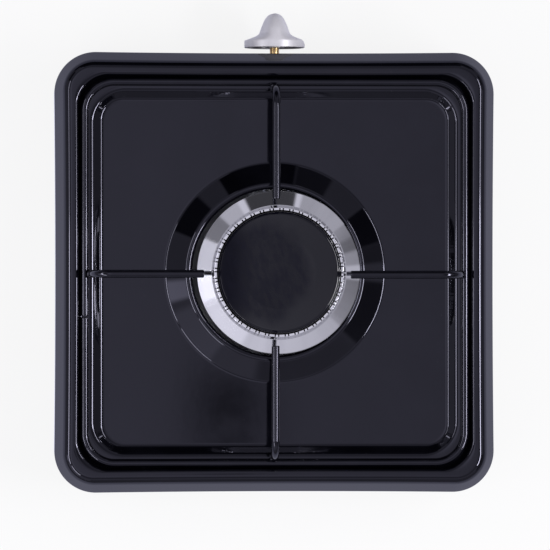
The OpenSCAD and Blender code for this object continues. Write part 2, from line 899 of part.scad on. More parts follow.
module inlet_bracket() {
    color(zinc)
        difference() {
            union() {
                translate([inlet_x - 13, bracket_y, tap_z - 12])
                    cube([26, bracket_t, tray_under_z - tap_z + 12]);
                translate([inlet_x - 13, bracket_y - 14, tray_under_z - bracket_t])
                    cube([26, 14.1, bracket_t]);
            }
            along_y(inlet_x, bracket_y - 2, tap_z) cylinder(r = thread_r + 0.05, h = 6);
        }
}

module nozzle_nut() {
    color(brass)
        along_y(inlet_x, bracket_y + bracket_t, tap_z)
            difference() {
                rotate(30) cylinder(r = 8.6, h = 3.4, $fn = 6);
                translate([0, 0, -1]) cylinder(r = thread_r + 0.05, h = 6);
            }
}

// ---------- drawing ----------

body_shell();
foot_front_left();
foot_front_right();
foot_rear_left();
foot_rear_right();
foot_screws();
support_ring();
finger_front();
finger_rear();
finger_left();
finger_right();
burner_cap();
burner_crown();
burner_cup();
mixing_tube();
burner_bracket();
bracket_studs();
bracket_nuts();
cup_screws();
injector_jet();
tap_body();
tap_plug();
tap_spring();
tap_spindle();
gland_plate();
gland_screws();
knob();
knob_clip();
pipe_nut();
inlet_pipe();
inlet_bracket();
nozzle_nut();
hose_nozzle();
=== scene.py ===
"""Dressed model of a single-burner tabletop gas hob.

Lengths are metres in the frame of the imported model: +Z up, the knob at -Y, and the
origin in the middle of the footprint, on the surface that the hob stands on. Sizes
are written in millimetres and multiplied by MM.
"""

from __future__ import annotations

import logging
import math
from collections.abc import Callable, Mapping, Sequence
from dataclasses import dataclass, field
from enum import Enum

import bmesh
import bpy
import numpy as np
from mathutils import Matrix, Vector


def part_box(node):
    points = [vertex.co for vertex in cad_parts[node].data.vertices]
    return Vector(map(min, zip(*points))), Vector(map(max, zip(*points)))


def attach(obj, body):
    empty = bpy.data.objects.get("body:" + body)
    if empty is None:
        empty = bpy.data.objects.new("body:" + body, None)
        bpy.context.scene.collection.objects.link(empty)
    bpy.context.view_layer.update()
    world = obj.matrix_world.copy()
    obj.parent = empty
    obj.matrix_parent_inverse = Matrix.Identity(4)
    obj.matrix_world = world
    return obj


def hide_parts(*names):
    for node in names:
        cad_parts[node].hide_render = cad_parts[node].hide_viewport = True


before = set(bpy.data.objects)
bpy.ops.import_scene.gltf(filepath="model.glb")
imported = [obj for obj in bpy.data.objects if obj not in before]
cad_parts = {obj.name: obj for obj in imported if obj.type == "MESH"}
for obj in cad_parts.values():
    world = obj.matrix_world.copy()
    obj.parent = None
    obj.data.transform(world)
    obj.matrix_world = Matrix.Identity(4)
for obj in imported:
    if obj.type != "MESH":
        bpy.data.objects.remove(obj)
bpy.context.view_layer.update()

Colour = tuple[float, float, float]

MM = 0.001
SHARP = 38.0  # degrees above which an edge is shaded sharp
GLASS_TINT: Colour = (0.82, 0.815, 1.0)  # of what the enamels mirror
GLASS_IOR = 1.5
LOG = logging.getLogger("hob")


def middle_of(node: str) -> Vector:
    """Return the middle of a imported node's box."""
    low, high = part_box(node)
    return (low + high) / 2


SHELL_LOW, SHELL_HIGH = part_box("body_shell")
BURNER_X = middle_of("burner_cap").x
SPINDLE = middle_of("tap_spindle")
NOZZLE = middle_of("hose_nozzle")


class Slot(Enum):
    """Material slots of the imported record."""

    BLACK_ENAMEL = "black_enamel"
    WIRE_ENAMEL = "wire_enamel"
    CAP_ENAMEL = "cap_enamel"
    POLISHED_ALUMINIUM = "polished_aluminium"
    CAST_ALUMINIUM = "cast_aluminium"
    ZINC_STEEL = "zinc_steel"
    BRASS = "brass"
    SILVER_PLASTIC = "silver_plastic"
    BLACK_RUBBER = "black_rubber"


class Body(Enum):
    """Bodies of the motion model."""

    BASE = "base"
    PAN_SUPPORT = "pan_support"
    CROWN = "crown"
    CAP = "cap"
    KNOB = "knob"


# ---------------------------------------------------------------- shader maths


class Value:
    """One output socket of a node tree, so that shader maths reads as arithmetic."""

    def __init__(self, graph: Graph, socket: bpy.types.NodeSocket | None) -> None:
        """Wrap a socket.

        Args:
            graph: The tree that the socket belongs to.
            socket: The output socket, or None for a node that has none.
        """
        self.graph = graph
        self.socket = socket

    def _maths(self, operation: str, *operands: Value | float) -> Value:
        """Return the result of a Math node on the operands."""
        return self.graph.node("ShaderNodeMath", {"operation": operation}, dict(enumerate(operands)))

    def __add__(self, other: Value | float) -> Value:
        """Return self + other."""
        return self._maths("ADD", self, other)

    __radd__ = __add__

    def __sub__(self, other: Value | float) -> Value:
        """Return self - other."""
        return self._maths("SUBTRACT", self, other)

    def __rsub__(self, other: float) -> Value:
        """Return other - self."""
        return self._maths("SUBTRACT", other, self)

    def __mul__(self, other: Value | float) -> Value:
        """Return self * other."""
        return self._maths("MULTIPLY", self, other)

    __rmul__ = __mul__

    def __truediv__(self, other: Value | float) -> Value:
        """Return self / other."""
        return self._maths("DIVIDE", self, other)

    def __rtruediv__(self, other: float) -> Value:
        """Return other / self."""
        return self._maths("DIVIDE", other, self)

    def magnitude(self) -> Value:
        """Return the value without its sign."""
        return self._maths("ABSOLUTE", self)

    def rooted(self) -> Value:
        """Return the square root."""
        return self._maths("SQRT", self)

    def lesser(self, other: Value | float) -> Value:
        """Return the smaller of self and other."""
        return self._maths("MINIMUM", self, other)

    def greater(self, other: Value | float) -> Value:
        """Return the larger of self and other."""
        return self._maths("MAXIMUM", self, other)

    def bearing_of(self, across: Value) -> Value:
        """Return the angle whose sine side is self and whose cosine side is across."""
        return self._maths("ARCTAN2", self, across)

    def lift_angle(self) -> Value:
        """Return the angle in degrees whose sine is self."""
        return self._maths("ARCSINE", self) * math.degrees(1.0)

    def eased(self, low: float, high: float) -> Value:
        """Return 0 below low, 1 above high, and a smooth step between them.

        Args:
            low: Where the step starts.
            high: Where the step ends.

        Returns:
            The step.
        """
        return self.graph.node(
            "ShaderNodeMapRange",
            {"interpolation_type": "SMOOTHSTEP"},
            {"Value": self, "From Min": low, "From Max": high},
        )

    def between(self, first: Value | float, second: Value | float) -> Value:
        """Return first where self is 0 and second where it is 1."""
        return (1.0 - self) * first + self * second


class Graph:
    """A node tree that is filled by one method for every kind of node."""

    def __init__(self, tree: bpy.types.NodeTree) -> None:
        """Start on an existing tree.

        Args:
            tree: The tree of a material or of the world.
        """
        self.tree = tree

    def node(
        self,
        kind: str,
        settings: Mapping[str, object] | None = None,
        inputs: Mapping[str | int, object] | None = None,
        output: str | int = 0,
    ) -> Value:
        """Add a node.

        Args:
            kind: Blender's name for the node's type.
            settings: Attributes that are set first.
            inputs: Sockets by name or number, each with a Value to link or a constant.
            output: The output socket to return.

        Returns:
            The chosen output, ready for more maths.
        """
        made = self.tree.nodes.new(kind)
        for name, setting in (settings or {}).items():
            setattr(made, name, setting)
        for key, value in (inputs or {}).items():
            self.feed(made.inputs[key], value)
        return Value(self, made.outputs[output] if made.outputs else None)

    def feed(self, target: bpy.types.NodeSocket, value: object) -> None:
        """Link a Value to an input socket, or write a number or an opaque colour on it.

        Args:
            target: The input socket.
            value: A Value, a number, a vector or a colour of three parts.
        """
        if isinstance(value, Value):
            self.tree.links.new(value.socket, target)
        elif target.type == "RGBA":
            target.default_value = (*value, 1.0)
        else:
            target.default_value = value

    def noise(self, vector: Value, scale: float, detail: float = 2.0, rough: float = 0.5) -> Value:
        """Return a noise texture with features of about 1 / scale metres."""
        inputs = {"Vector": vector, "Scale": scale, "Detail": detail, "Roughness": rough}
        return self.node("ShaderNodeTexNoise", None, inputs)

    def bump(self, height: Value) -> Value:
        """Return the normal of a surface that a height in metres raises."""
        return self.node("ShaderNodeBump", None, {"Strength": 1.0, "Distance": 1.0, "Height": height})

    def blend_colours(
        self, factor: Value | float, first: Value | Colour, second: Value | Colour
    ) -> Value:
        """Return the colour that is first where factor is 0 and second where it is 1."""
        inputs = {0: factor, 6: first, 7: second}
        return self.node("ShaderNodeMix", {"data_type": "RGBA"}, inputs, output=2)

    def blend_shaders(self, factor: Value, first: Value, second: Value) -> Value:
        """Return the shader that is first where factor is 0 and second where it is 1."""
        return self.node("ShaderNodeMixShader", None, {0: factor, 1: first, 2: second})

    def parts_of(self, vector: Value) -> tuple[Value, Value, Value]:
        """Split a vector.

        Args:
            vector: The vector.

        Returns:
            Its x, y and z.
        """
        split = self.node("ShaderNodeSeparateXYZ", None, {"Vector": vector})
        outputs = split.socket.node.outputs
        return tuple(Value(self, outputs[axis]) for axis in "XYZ")

    def vector_of(self, x: Value | float, y: Value | float, z: Value | float) -> Value:
        """Return a vector from its three parts."""
        return self.node("ShaderNodeCombineXYZ", None, {"X": x, "Y": y, "Z": z})


# -------------------------------------------------------------------- finishes


class Finish:
    """A surface finish; each kind fills the sockets of one Principled shader."""

    slot: Slot

    def material(self) -> bpy.types.Material:
        """Make the material, or find it where it has been made before.

        Returns:
            The finished material.
        """
        known = bpy.data.materials.get(self.slot.value + "_finish")
        if known:
            return known
        made = bpy.data.materials.new(self.slot.value + "_finish")
        made.use_nodes = True
        graph = Graph(made.node_tree)
        shader = made.node_tree.nodes["Principled BSDF"]
        place = graph.node("ShaderNodeTexCoord", output="Object")
        for name, value in self.sockets(graph, place).items():
            graph.feed(shader.inputs[name], value)
        return made

    def sockets(self, graph: Graph, place: Value) -> dict[str, object]:
        """Fill the sockets of the shader.

        Args:
            graph: Tree of the material.
            place: Position on the object, in metres.

        Returns:
            Values, colours or links by the name of the socket.
        """
        raise NotImplementedError


@dataclass(frozen=True)
class Enamel(Finish):
    """Black vitreous enamel: a glassy surface, nearly no colour of its own.

    Attributes:
        slot: Material slot.
        colour: Colour of the glass under its gloss.
        haze_colour: Colour where handling has left a film.
        gloss: Roughness of the clean glass.
        haze: Roughness added by the film.
        film_scale: Size of the film's patches, as noise scale per metre.
        peel: Height of the orange peel, in metres.
        peel_scale: Noise scale of the orange peel, per metre.
        dust_colour: Colour of the specks of dust on it.
        dust_scale: Noise scale of the dust, per metre.
        dust_cover: How far a speck hides the glass; 1 hides it.
    """

    slot: Slot
    colour: Colour = (0.0012, 0.0012, 0.0022)
    haze_colour: Colour = (0.0022, 0.0022, 0.0036)
    gloss: float = 0.035
    haze: float = 0.035
    film_scale: float = 22.0
    peel: float = 2.4e-6
    peel_scale: float = 210.0
    dust_colour: Colour = (0.09, 0.09, 0.10)
    dust_scale: float = 900.0
    dust_cover: float = 0.35

    def sockets(self, graph: Graph, place: Value) -> dict[str, object]:
        """Fill the sockets of the shader.

        Args:
            graph: Tree of the material.
            place: Position on the object, in metres.

        Returns:
            Values, colours or links by the name of the socket.
        """
        film = graph.noise(place, self.film_scale, 3.0, 0.62).eased(0.38, 0.72)
        dust = graph.noise(place, self.dust_scale, 1.0).eased(0.80, 0.84)
        height = graph.noise(place, self.peel_scale, 1.5) * self.peel
        tinted = graph.blend_colours(film, self.colour, self.haze_colour)
        return {
            "Base Color": graph.blend_colours(dust * self.dust_cover, tinted, self.dust_colour),
            "Roughness": self.gloss + film * self.haze,
            "IOR": GLASS_IOR,
            "Specular Tint": GLASS_TINT,
            "Normal": graph.bump(height),
        }


@dataclass(frozen=True)
class CapEnamel(Finish):
    """Enamel of the burner cap: glossy on one side, dulled and mottled by heat elsewhere.

    Attributes:
        slot: Material slot.
        axis_x: Where the cap's axis stands, in metres.
        colour: Colour in the dark mottles.
        worn_colour: Colour in the pale mottles.
        burnt_x: Middle of the dulled field, from the axis, in metres.
        burnt_half: Half widths of the dulled field along X and Y, in metres.
        burnt_edge: Where the field's edge starts and ends, as a share of its half widths.
        ragged: How far noise shifts that edge, as a share of the half widths.
        dull_rim: Where the gloss starts and stops fading along X, in metres from the axis.
        gloss: Weight of the glossy coat on clean enamel.
        gloss_lost: Weight that heat takes away in the dark mottles, and more in the pale ones.
        rim_lost: Share of the coat that is gone past the dull rim.
        matt: Roughness under the coat.
        speck_gloss: Roughness that a burnt-on speck takes away.
        mottle_scale: Noise scale of the mottles, per metre.
        cloud_scale: Noise scale of the field's edge, per metre.
        speck_scale: Noise scale of the burnt-on specks, per metre.
        texture_scale: Noise scale of the surface, per metre.
        texture: Height of the surface and of the specks, in metres.
    """

    slot: Slot = Slot.CAP_ENAMEL
    axis_x: float = BURNER_X
    colour: Colour = (0.0014, 0.0014, 0.0042)
    worn_colour: Colour = (0.0046, 0.0046, 0.0088)
    burnt_x: float = 8.0 * MM
    burnt_half: tuple[float, float] = (28.0 * MM, 34.0 * MM)
    burnt_edge: tuple[float, float] = (0.72, 1.08)
    ragged: float = 0.5
    dull_rim: tuple[float, float] = (12.0 * MM, 33.0 * MM)
    gloss: float = 0.85
    gloss_lost: tuple[float, float] = (0.30, 0.32)
    rim_lost: float = 0.85
    matt: float = 0.30
    speck_gloss: float = 0.04
    mottle_scale: float = 130.0
    cloud_scale: float = 45.0
    speck_scale: float = 420.0
    texture_scale: float = 260.0
    texture: float = 3e-6

    def sockets(self, graph: Graph, place: Value) -> dict[str, object]:
        """Fill the sockets of the shader.

        Args:
            graph: Tree of the material.
            place: Position on the object, in metres.

        Returns:
            Values, colours or links by the name of the socket.
        """
        x, y, z = graph.parts_of(place)
        x = x - self.axis_x
        wiped = graph.vector_of(x * 1.5 + y * 0.5, y * 0.6 - x * 0.2, z)
        mottle = graph.noise(wiped, self.mottle_scale, 4.0, 0.66).eased(0.36, 0.66)
        cloud = graph.noise(place, self.cloud_scale, 2.0)
        across = (x - self.burnt_x) / self.burnt_half[0]
        along = y / self.burnt_half[1]
        reach = (across * across + along * along).rooted() + (cloud - 0.5) * self.ragged
        heat_mark_and_slot_shade = 1.0 - reach.eased(*self.burnt_edge)
        rim = x.eased(*self.dull_rim)
        speck = graph.noise(place, self.speck_scale, 2.0).eased(0.60, 0.75)
        surface = graph.noise(place, self.texture_scale, 2.0)
        height = surface * self.texture + speck * heat_mark_and_slot_shade * self.texture
        dark_loss, pale_loss = self.gloss_lost
        coat = self.gloss - heat_mark_and_slot_shade * (dark_loss + mottle * pale_loss)
        return {
            "Base Color": graph.blend_colours(mottle * heat_mark_and_slot_shade, self.colour, self.worn_colour),
            "Roughness": self.matt - speck * self.speck_gloss,
            "IOR": GLASS_IOR,
            "Specular IOR Level": 0.05,
            "Specular Tint": GLASS_TINT,
            "Coat Weight": coat * (1.0 - rim * self.rim_lost),
            "Coat Roughness": 0.08,
            "Coat IOR": GLASS_IOR,
            "Normal": graph.bump(height),
        }


@dataclass(frozen=True)
class TurnedAluminium(Finish):
    """Cast aluminium with a turned and polished face round one axis, and painted shade in its flame slots.

    Attributes:
        slot: Material slot.
        axis_x: Where the turning axis stands, in metres.
        colour: Colour of the bare metal.
        dull_colour: Colour of the streaks that the polish missed.
        slot_shade: Colour of the painted shade inside the flame slots.
        teeth_radius: Radius inside which the slots get painted shade.
        teeth_top_z: Height of the tops of the teeth, which stay free of the painted shade.
        slot_shade_below: Depths under the tops at which the painted shade is full and at which it starts.
        gloss: Roughness of the polish.
        streak_haze: Roughness that the streaks add.
        streak_cover: How far a streak hides the bare metal; 1 hides it.
        slot_shade_haze: Roughness that the painted shade adds.
        groove_scale: Noise scale of the turning grooves along the radius, per metre.
        groove: Depth of the grooves, in metres.
        ripple: Height of the ripples round the axis, in metres.
    """

    slot: Slot = Slot.POLISHED_ALUMINIUM
    axis_x: float = BURNER_X
    colour: Colour = (0.83, 0.83, 0.86)
    dull_colour: Colour = (0.60, 0.60, 0.64)
    slot_shade: Colour = (0.035, 0.034, 0.034)
    teeth_radius: float = 40.85 * MM
    teeth_top_z: float = 80.4 * MM
    slot_shade_below: tuple[float, float] = (0.5 * MM, 0.15 * MM)
    gloss: float = 0.055
    streak_haze: float = 0.03
    streak_cover: float = 0.25
    slot_shade_haze: float = 0.45
    groove_scale: float = 4200.0
    groove: float = 0.5e-6
    ripple: float = 6e-6

    def sockets(self, graph: Graph, place: Value) -> dict[str, object]:
        """Fill the sockets of the shader.

        Args:
            graph: Tree of the material.
            place: Position on the object, in metres.

        Returns:
            Values, colours or links by the name of the socket.
        """
        x, y, z = graph.parts_of(place)
        x = x - self.axis_x
        radius = (x * x + y * y).rooted()
        around = graph.vector_of(x / radius, y / radius, radius * 2.5)
        streak = graph.noise(around, 5.0, 2.0, 0.5).eased(0.45, 0.75)
        groove_inputs = {"W": radius, "Scale": self.groove_scale, "Detail": 2.0}
        grooves = graph.node("ShaderNodeTexNoise", {"noise_dimensions": "1D"}, groove_inputs)
        height = grooves * self.groove + graph.noise(around, 9.0, 2.0) * self.ripple
        metal = graph.blend_colours(streak * self.streak_cover, self.colour, self.dull_colour)
        # painted shade: the flame slots are darkened and roughened below the teeth's tops
        within = 1.0 - radius.eased(self.teeth_radius - 0.1 * MM, self.teeth_radius)
        full, start = (self.teeth_top_z - below for below in self.slot_shade_below)
        heat_mark_and_slot_shade = within * (1.0 - z.eased(full, start))
        return {
            "Base Color": graph.blend_colours(heat_mark_and_slot_shade, metal, self.slot_shade),
            "Metallic": 1.0,
            "Roughness": self.gloss + streak * self.streak_haze + heat_mark_and_slot_shade * self.slot_shade_haze,
            "Normal": graph.bump(height),
        }


@dataclass(frozen=True)
class PlainMetal(Finish):
    """A bare or plated metal with clouding and fine tool marks.

    Attributes:
        slot: Material slot.
        colour: Colour of the clean metal.
        stain: Colour of the clouded patches.
        gloss: Lowest roughness.
        clouding: Roughness added by the clouds.
        grain: Height of the surface grain, in metres.
        grain_scale: Noise scale of the grain, per metre.
        cloud_scale: Noise scale of the clouds, per metre.
    """

    slot: Slot
    colour: Colour
    stain: Colour
    gloss: float
    clouding: float
    grain: float
    grain_scale: float
    cloud_scale: float = 85.0

    def sockets(self, graph: Graph, place: Value) -> dict[str, object]:
        """Fill the sockets of the shader.

        Args:
            graph: Tree of the material.
            place: Position on the object, in metres.

        Returns:
            Values, colours or links by the name of the socket.
        """
        cloud = graph.noise(place, self.cloud_scale, 4.0, 0.6).eased(0.35, 0.70)
        height = graph.noise(place, self.grain_scale, 3.0, 0.6) * self.grain
        return {
            "Base Color": graph.blend_colours(cloud, self.colour, self.stain),
            "Metallic": 1.0,
            "Roughness": self.gloss + cloud * self.clouding,
            "Normal": graph.bump(height),
        }


@dataclass(frozen=True)
class SilverPlastic(Finish):
    """Moulded plastic with a satin silver lacquer.

    Attributes:
        slot: Material slot.
        colour: Colour of the lacquer.
        flake: Colour between its flakes.
        flake_scale: Noise scale of the flakes, per metre.
        flake_height: Height of the flakes, in metres.
        handling_scale: Noise scale of the marks of handling, per metre.
        gloss: Roughness of the clean lacquer.
        handling_haze: Roughness that handling adds.
    """

    slot: Slot = Slot.SILVER_PLASTIC
    colour: Colour = (0.64, 0.63, 0.65)
    flake: Colour = (0.54, 0.53, 0.55)
    flake_scale: float = 3800.0
    flake_height: float = 1.2e-6
    handling_scale: float = 70.0
    gloss: float = 0.40
    handling_haze: float = 0.08

    def sockets(self, graph: Graph, place: Value) -> dict[str, object]:
        """Fill the sockets of the shader.

        Args:
            graph: Tree of the material.
            place: Position on the object, in metres.

        Returns:
            Values, colours or links by the name of the socket.
        """
        flakes = graph.noise(place, self.flake_scale, 1.0)
        handling = graph.noise(place, self.handling_scale, 3.0).eased(0.40, 0.70)
        return {
            "Base Color": graph.blend_colours(flakes.eased(0.35, 0.65), self.flake, self.colour),
            "Metallic": 0.25,
            "Roughness": self.gloss + handling * self.handling_haze,
            "Normal": graph.bump(flakes * self.flake_height),
        }


@dataclass(frozen=True)
class MouldedRubber(Finish):
    """Matt black rubber with a fine moulded texture and dust.

    Attributes:
        slot: Material slot.
        colour: Colour of the rubber.
        dusty: Colour of its dusty patches.
        dust_scale: Noise scale of those patches, per metre.
        matt: Roughness of the clean rubber.
        dust_haze: Roughness that dust adds.
        texture_scale: Noise scale of the moulded texture, per metre.
        texture: Height of the texture, in metres.
    """

    slot: Slot = Slot.BLACK_RUBBER
    colour: Colour = (0.018, 0.018, 0.018)
    dusty: Colour = (0.045, 0.044, 0.042)
    dust_scale: float = 160.0
    matt: float = 0.62
    dust_haze: float = 0.18
    texture_scale: float = 1600.0
    texture: float = 8e-6

    def sockets(self, graph: Graph, place: Value) -> dict[str, object]:
        """Fill the sockets of the shader.

        Args:
            graph: Tree of the material.
            place: Position on the object, in metres.

        Returns:
            Values, colours or links by the name of the socket.
        """
        dust = graph.noise(place, self.dust_scale, 4.0, 0.65).eased(0.48, 0.75)
        height = graph.noise(place, self.texture_scale, 3.0) * self.texture
        return {
            "Base Color": graph.blend_colours(dust, self.colour, self.dusty),
            "Roughness": self.matt + dust * self.dust_haze,
            "Normal": graph.bump(height),
        }


FINISHES: dict[Slot, Finish] = {
    finish.slot: finish
    for finish in (
        Enamel(Slot.BLACK_ENAMEL),
        Enamel(Slot.WIRE_ENAMEL, gloss=0.06, haze=0.05, film_scale=60.0, peel=3.2e-6),
        CapEnamel(),
        TurnedAluminium(),
        PlainMetal(Slot.CAST_ALUMINIUM, (0.60, 0.61, 0.63), (0.45, 0.46, 0.48), 0.42, 0.16, 3.0e-5, 900.0),
        PlainMetal(Slot.ZINC_STEEL, (0.66, 0.67, 0.69), (0.55, 0.56, 0.58), 0.26, 0.18, 4.0e-6, 1400.0),
        PlainMetal(Slot.BRASS, (0.72, 0.53, 0.27), (0.55, 0.37, 0.17), 0.20, 0.20, 3.0e-6, 1800.0),
        SilverPlastic(),
        MouldedRubber(),
    )
}


# ------------------------------------------------------------------- mesh work


# how much of a stretch a fillet may take, beside another fillet and beside none
SHARED, ALONE = 0.49, 0.98


@dataclass(frozen=True)
class Corner:
    """A corner of a profile.

    Attributes:
        out: Distance from the middle.
        up: Height.
        fillet: Radius that rounds the corner off.
        plan: Corner radius in plan where the profile runs round a rounded square.
    """

    out: float
    up: float
    fillet: float = 0.0
    plan: float = 0.0


def filleted(corners: Sequence[Corner], step: float = math.radians(9.0)) -> np.ndarray:
    """Turn corners into a smooth open profile.

    Args:
        corners: The corners in order.
        step: Largest turn between two points of a fillet.

    Returns:
        Rows of out, up and plan radius.
    """
    rows = [[corners[0].out, corners[0].up, corners[0].plan]]
    for before, here, after in zip(corners, corners[1:], corners[2:]):
        spot = np.array([here.out, here.up])
        back = np.array([before.out, before.up]) - spot
        ahead = np.array([after.out, after.up]) - spot
        back_length, ahead_length = np.linalg.norm(back), np.linalg.norm(ahead)
        back, ahead = back / back_length, ahead / ahead_length
        opening = math.acos(max(-1.0, min(1.0, float(back @ ahead))))
        turn = math.pi - opening
        if here.fillet <= 0.0 or turn < math.radians(1.0):
            rows.append([here.out, here.up, here.plan])
            continue
        back_room = back_length * (SHARED if before.fillet > 0.0 else ALONE)
        ahead_room = ahead_length * (SHARED if after.fillet > 0.0 else ALONE)
        reach = min(here.fillet * math.tan(turn / 2), back_room, ahead_room)
        radius = reach / math.tan(turn / 2)
        centre = spot + (back + ahead) / np.linalg.norm(back + ahead) * radius / math.cos(turn / 2)
        start, end = spot + back * reach - centre, spot + ahead * reach - centre
        count = max(2, math.ceil(turn / step))
        for index in range(count + 1):
            share = index / count
            mixed = start * math.sin((1 - share) * turn) + end * math.sin(share * turn)
            point = centre + mixed / math.sin(turn)
            towards, length = (before, back_length) if share < 0.5 else (after, ahead_length)
            lead = (towards.plan - here.plan) * reach / length
            rows.append([point[0], point[1], here.plan + lead * abs(2 * share - 1)])
    rows.append([corners[-1].out, corners[-1].up, corners[-1].plan])
    return guarded(np.array(rows))


def guarded(rows: np.ndarray, guard: float = 0.5 * MM) -> np.ndarray:
    """Add a row close to both ends of every long stretch, so that it stays flat when shaded.

    Args:
        rows: Points in order, each with two coordinates before anything else.
        guard: Distance of the added rows from the ends of a stretch.

    Returns:
        The longer array.
    """
    kept = [rows[0]]
    for start, end in zip(rows, rows[1:]):
        length = float(np.linalg.norm((end - start)[:2]))
        if length > 4 * guard:
            step = (end - start) * guard / length
            kept += [start + step, end - step]
        kept.append(end)
    return np.array(kept)


def inner_profile(rows: np.ndarray, depth: float) -> np.ndarray:
    """Offset a profile to its left, row by row.

    Args:
        rows: Rows of out, up and plan radius.
        depth: Distance between the two profiles.

    Returns:
        The moved rows, each with its old plan radius.
    """
    along = np.gradient(rows[:, :2], axis=0)
    along /= np.maximum(np.linalg.norm(along, axis=1, keepdims=True), 1e-12)
    moved = rows.copy()
    moved[:, 0] -= along[:, 1] * depth
    moved[:, 1] += along[:, 0] * depth
    return moved


def quarter_arc(radius: float, steps: int = 24) -> np.ndarray:
    """Return the points of a quarter circle round the origin."""
    angles = np.linspace(0.0, math.pi / 2, steps + 1)
    return radius * np.stack([np.cos(angles), np.sin(angles)], axis=1)


def four_times(quarter: np.ndarray) -> np.ndarray:
    """Repeat a quarter of a plan outline round the origin.

    Args:
        quarter: Points of the quarter, in order.

    Returns:
        The quarter, followed by its three turned copies.
    """
    turns = [quarter]
    for _ in range(3):
        turns.append(np.stack([-turns[-1][:, 1], turns[-1][:, 0]], axis=1))
    return np.vstack(turns)


def ring_faces(rings: int, count: int, closed_along: bool) -> list[list[int]]:
    """Return quads that join closed rings of points.

    Args:
        rings: Number of rings.
        count: Points in a ring.
        closed_along: The last ring joins the first.

    Returns:
        Faces as lists of point numbers.
    """
    ring = np.arange(rings if closed_along else rings - 1)[:, None] * count
    after = (ring + count) % (rings * count)
    point = np.arange(count)[None, :]
    beside = (point + 1) % count
    quads = [ring + point, ring + beside, after + beside, after + point]
    return np.stack(quads, axis=-1).reshape(-1, 4).tolist()


def linked(name: str, data: bpy.types.ID) -> bpy.types.Object:
    """Put some data into the scene.

    Args:
        name: Name of the object.
        data: Mesh, light or camera that it holds.

    Returns:
        The new object.
    """
    made = bpy.data.objects.new(name, data)
    bpy.context.scene.collection.objects.link(made)
    return made


class Mesh:
    """Points and faces that grow into one piece."""

    def __init__(self) -> None:
        """Start with no points."""
        self.points: list[Sequence[float]] = []
        self.faces: list[Sequence[int]] = []

    def add_rings(
        self, rings: np.ndarray, closed_along: bool = False, capped: bool = False
    ) -> None:
        """Add a skin over closed rings.

        Args:
            rings: Array of rings, points and coordinates.
            closed_along: The last ring joins the first.
            capped: The first and last ring are filled with one face each.
        """
        number, count = rings.shape[:2]
        faces = ring_faces(number, count, closed_along)
        if capped:
            faces.append(list(range(count - 1, -1, -1)))
            faces.append(list(range((number - 1) * count, number * count)))
        first = len(self.points)
        self.points.extend(rings.reshape(-1, 3).tolist())
        self.faces.extend([first + index for index in face] for face in faces)

    def piece(self, name: str, slot: Slot, body: Body, sharp: float = SHARP) -> bpy.types.Object:
        """Make the object, dress it and let it ride on a body.

        Args:
            name: Name of the piece.
            slot: Material slot that it takes its finish from.
            body: Body of the motion model that carries it.
            sharp: Angle in degrees above which an edge is shaded sharp.

        Returns:
            The new object.
        """
        data = bpy.data.meshes.new(name)
        data.from_pydata(self.points, [], self.faces)
        work = bmesh.new()
        work.from_mesh(data)
        bmesh.ops.remove_doubles(work, verts=work.verts, dist=1e-7)
        bmesh.ops.recalc_face_normals(work, faces=work.faces)
        work.to_mesh(data)
        work.free()
        made = linked(name, data)
        dress(made, slot)
        smooth(made, sharp)
        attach(made, body.value)
        LOG.info("piece %s: %d faces, rides on %s", name, len(data.polygons), body.value)
        return made


def dress(thing: bpy.types.Object, slot: Slot) -> None:
    """Give an object the finish of a material slot, on every one of its own slots.

    Args:
        thing: The object.
        slot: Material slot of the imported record.
    """
    material = FINISHES[slot].material()
    if not thing.material_slots:
        thing.data.materials.append(material)
    for own in thing.material_slots:
        own.material = material


def smooth(thing: bpy.types.Object, sharp: float = SHARP) -> None:
    """Shade an object smooth, apart from edges that turn more than an angle in degrees."""
    thing.data.shade_smooth()
    thing.data.set_sharp_from_angle(angle=math.radians(sharp))


def cut_round_hole(
    thing: bpy.types.Object, centre: Vector, radius: float, depth: float = 8.0 * MM
) -> None:
    """Cut a hole along Y through a piece.

    Args:
        thing: The piece.
        centre: A point on the hole's axis, in the middle of the wall.
        radius: Radius of the hole.
        depth: Length of the cut.
    """
    drill = bmesh.new()
    turn = Matrix.Translation(centre) @ Matrix.Rotation(math.pi / 2, 4, "X")
    bmesh.ops.create_cone(
        drill, cap_ends=True, segments=96, radius1=radius, radius2=radius, depth=depth, matrix=turn
    )
    data = bpy.data.meshes.new("drill")
    drill.to_mesh(data)
    drill.free()
    tool = linked("drill", data)
    cut = thing.modifiers.new("hole", "BOOLEAN")
    cut.operation = "DIFFERENCE"
    cut.solver = "EXACT"
    cut.object = tool
    with bpy.context.temp_override(object=thing, active_object=thing, selected_objects=[thing]):
        bpy.ops.object.modifier_apply(modifier=cut.name)
    bpy.data.objects.remove(tool)
    bpy.data.meshes.remove(data)


def revolved(rows: np.ndarray, count: int) -> np.ndarray:
    """Turn a profile round the vertical axis.

    Args:
        rows: Rows that start with out and up.
        count: Points in a ring.

    Returns:
        One ring for each row.
    """
    angles = np.linspace(0.0, 2 * math.pi, count, endpoint=False)
    out, up = rows[:, :1], rows[:, 1:2]
    turned = [out * np.cos(angles), out * np.sin(angles), np.tile(up, (1, count))]
    return np.stack(turned, axis=-1)


def swept(path: np.ndarray, radii: Sequence[float], sides: int, flat_axis: Vector) -> np.ndarray:
    """Return round rings along a path that lies in one plane.

    Args:
        path: Points of the path.
        radii: Radius at each point.
        sides: Points in a ring.
        flat_axis: Direction at right angles to the path's plane.

    Returns:
        Array of rings.
    """
    axis = np.array(flat_axis)
    along = np.gradient(path, axis=0)
    along /= np.linalg.norm(along, axis=1, keepdims=True)
    side = np.cross(along, axis)
    angles = np.linspace(0.0, 2 * math.pi, sides, endpoint=False)[None, :, None]
    outward = np.cos(angles) * side[:, None, :] + np.sin(angles) * axis
    return path[:, None, :] + np.asarray(radii)[:, None, None] * outward


# ------------------------------------------------------------------ body shell


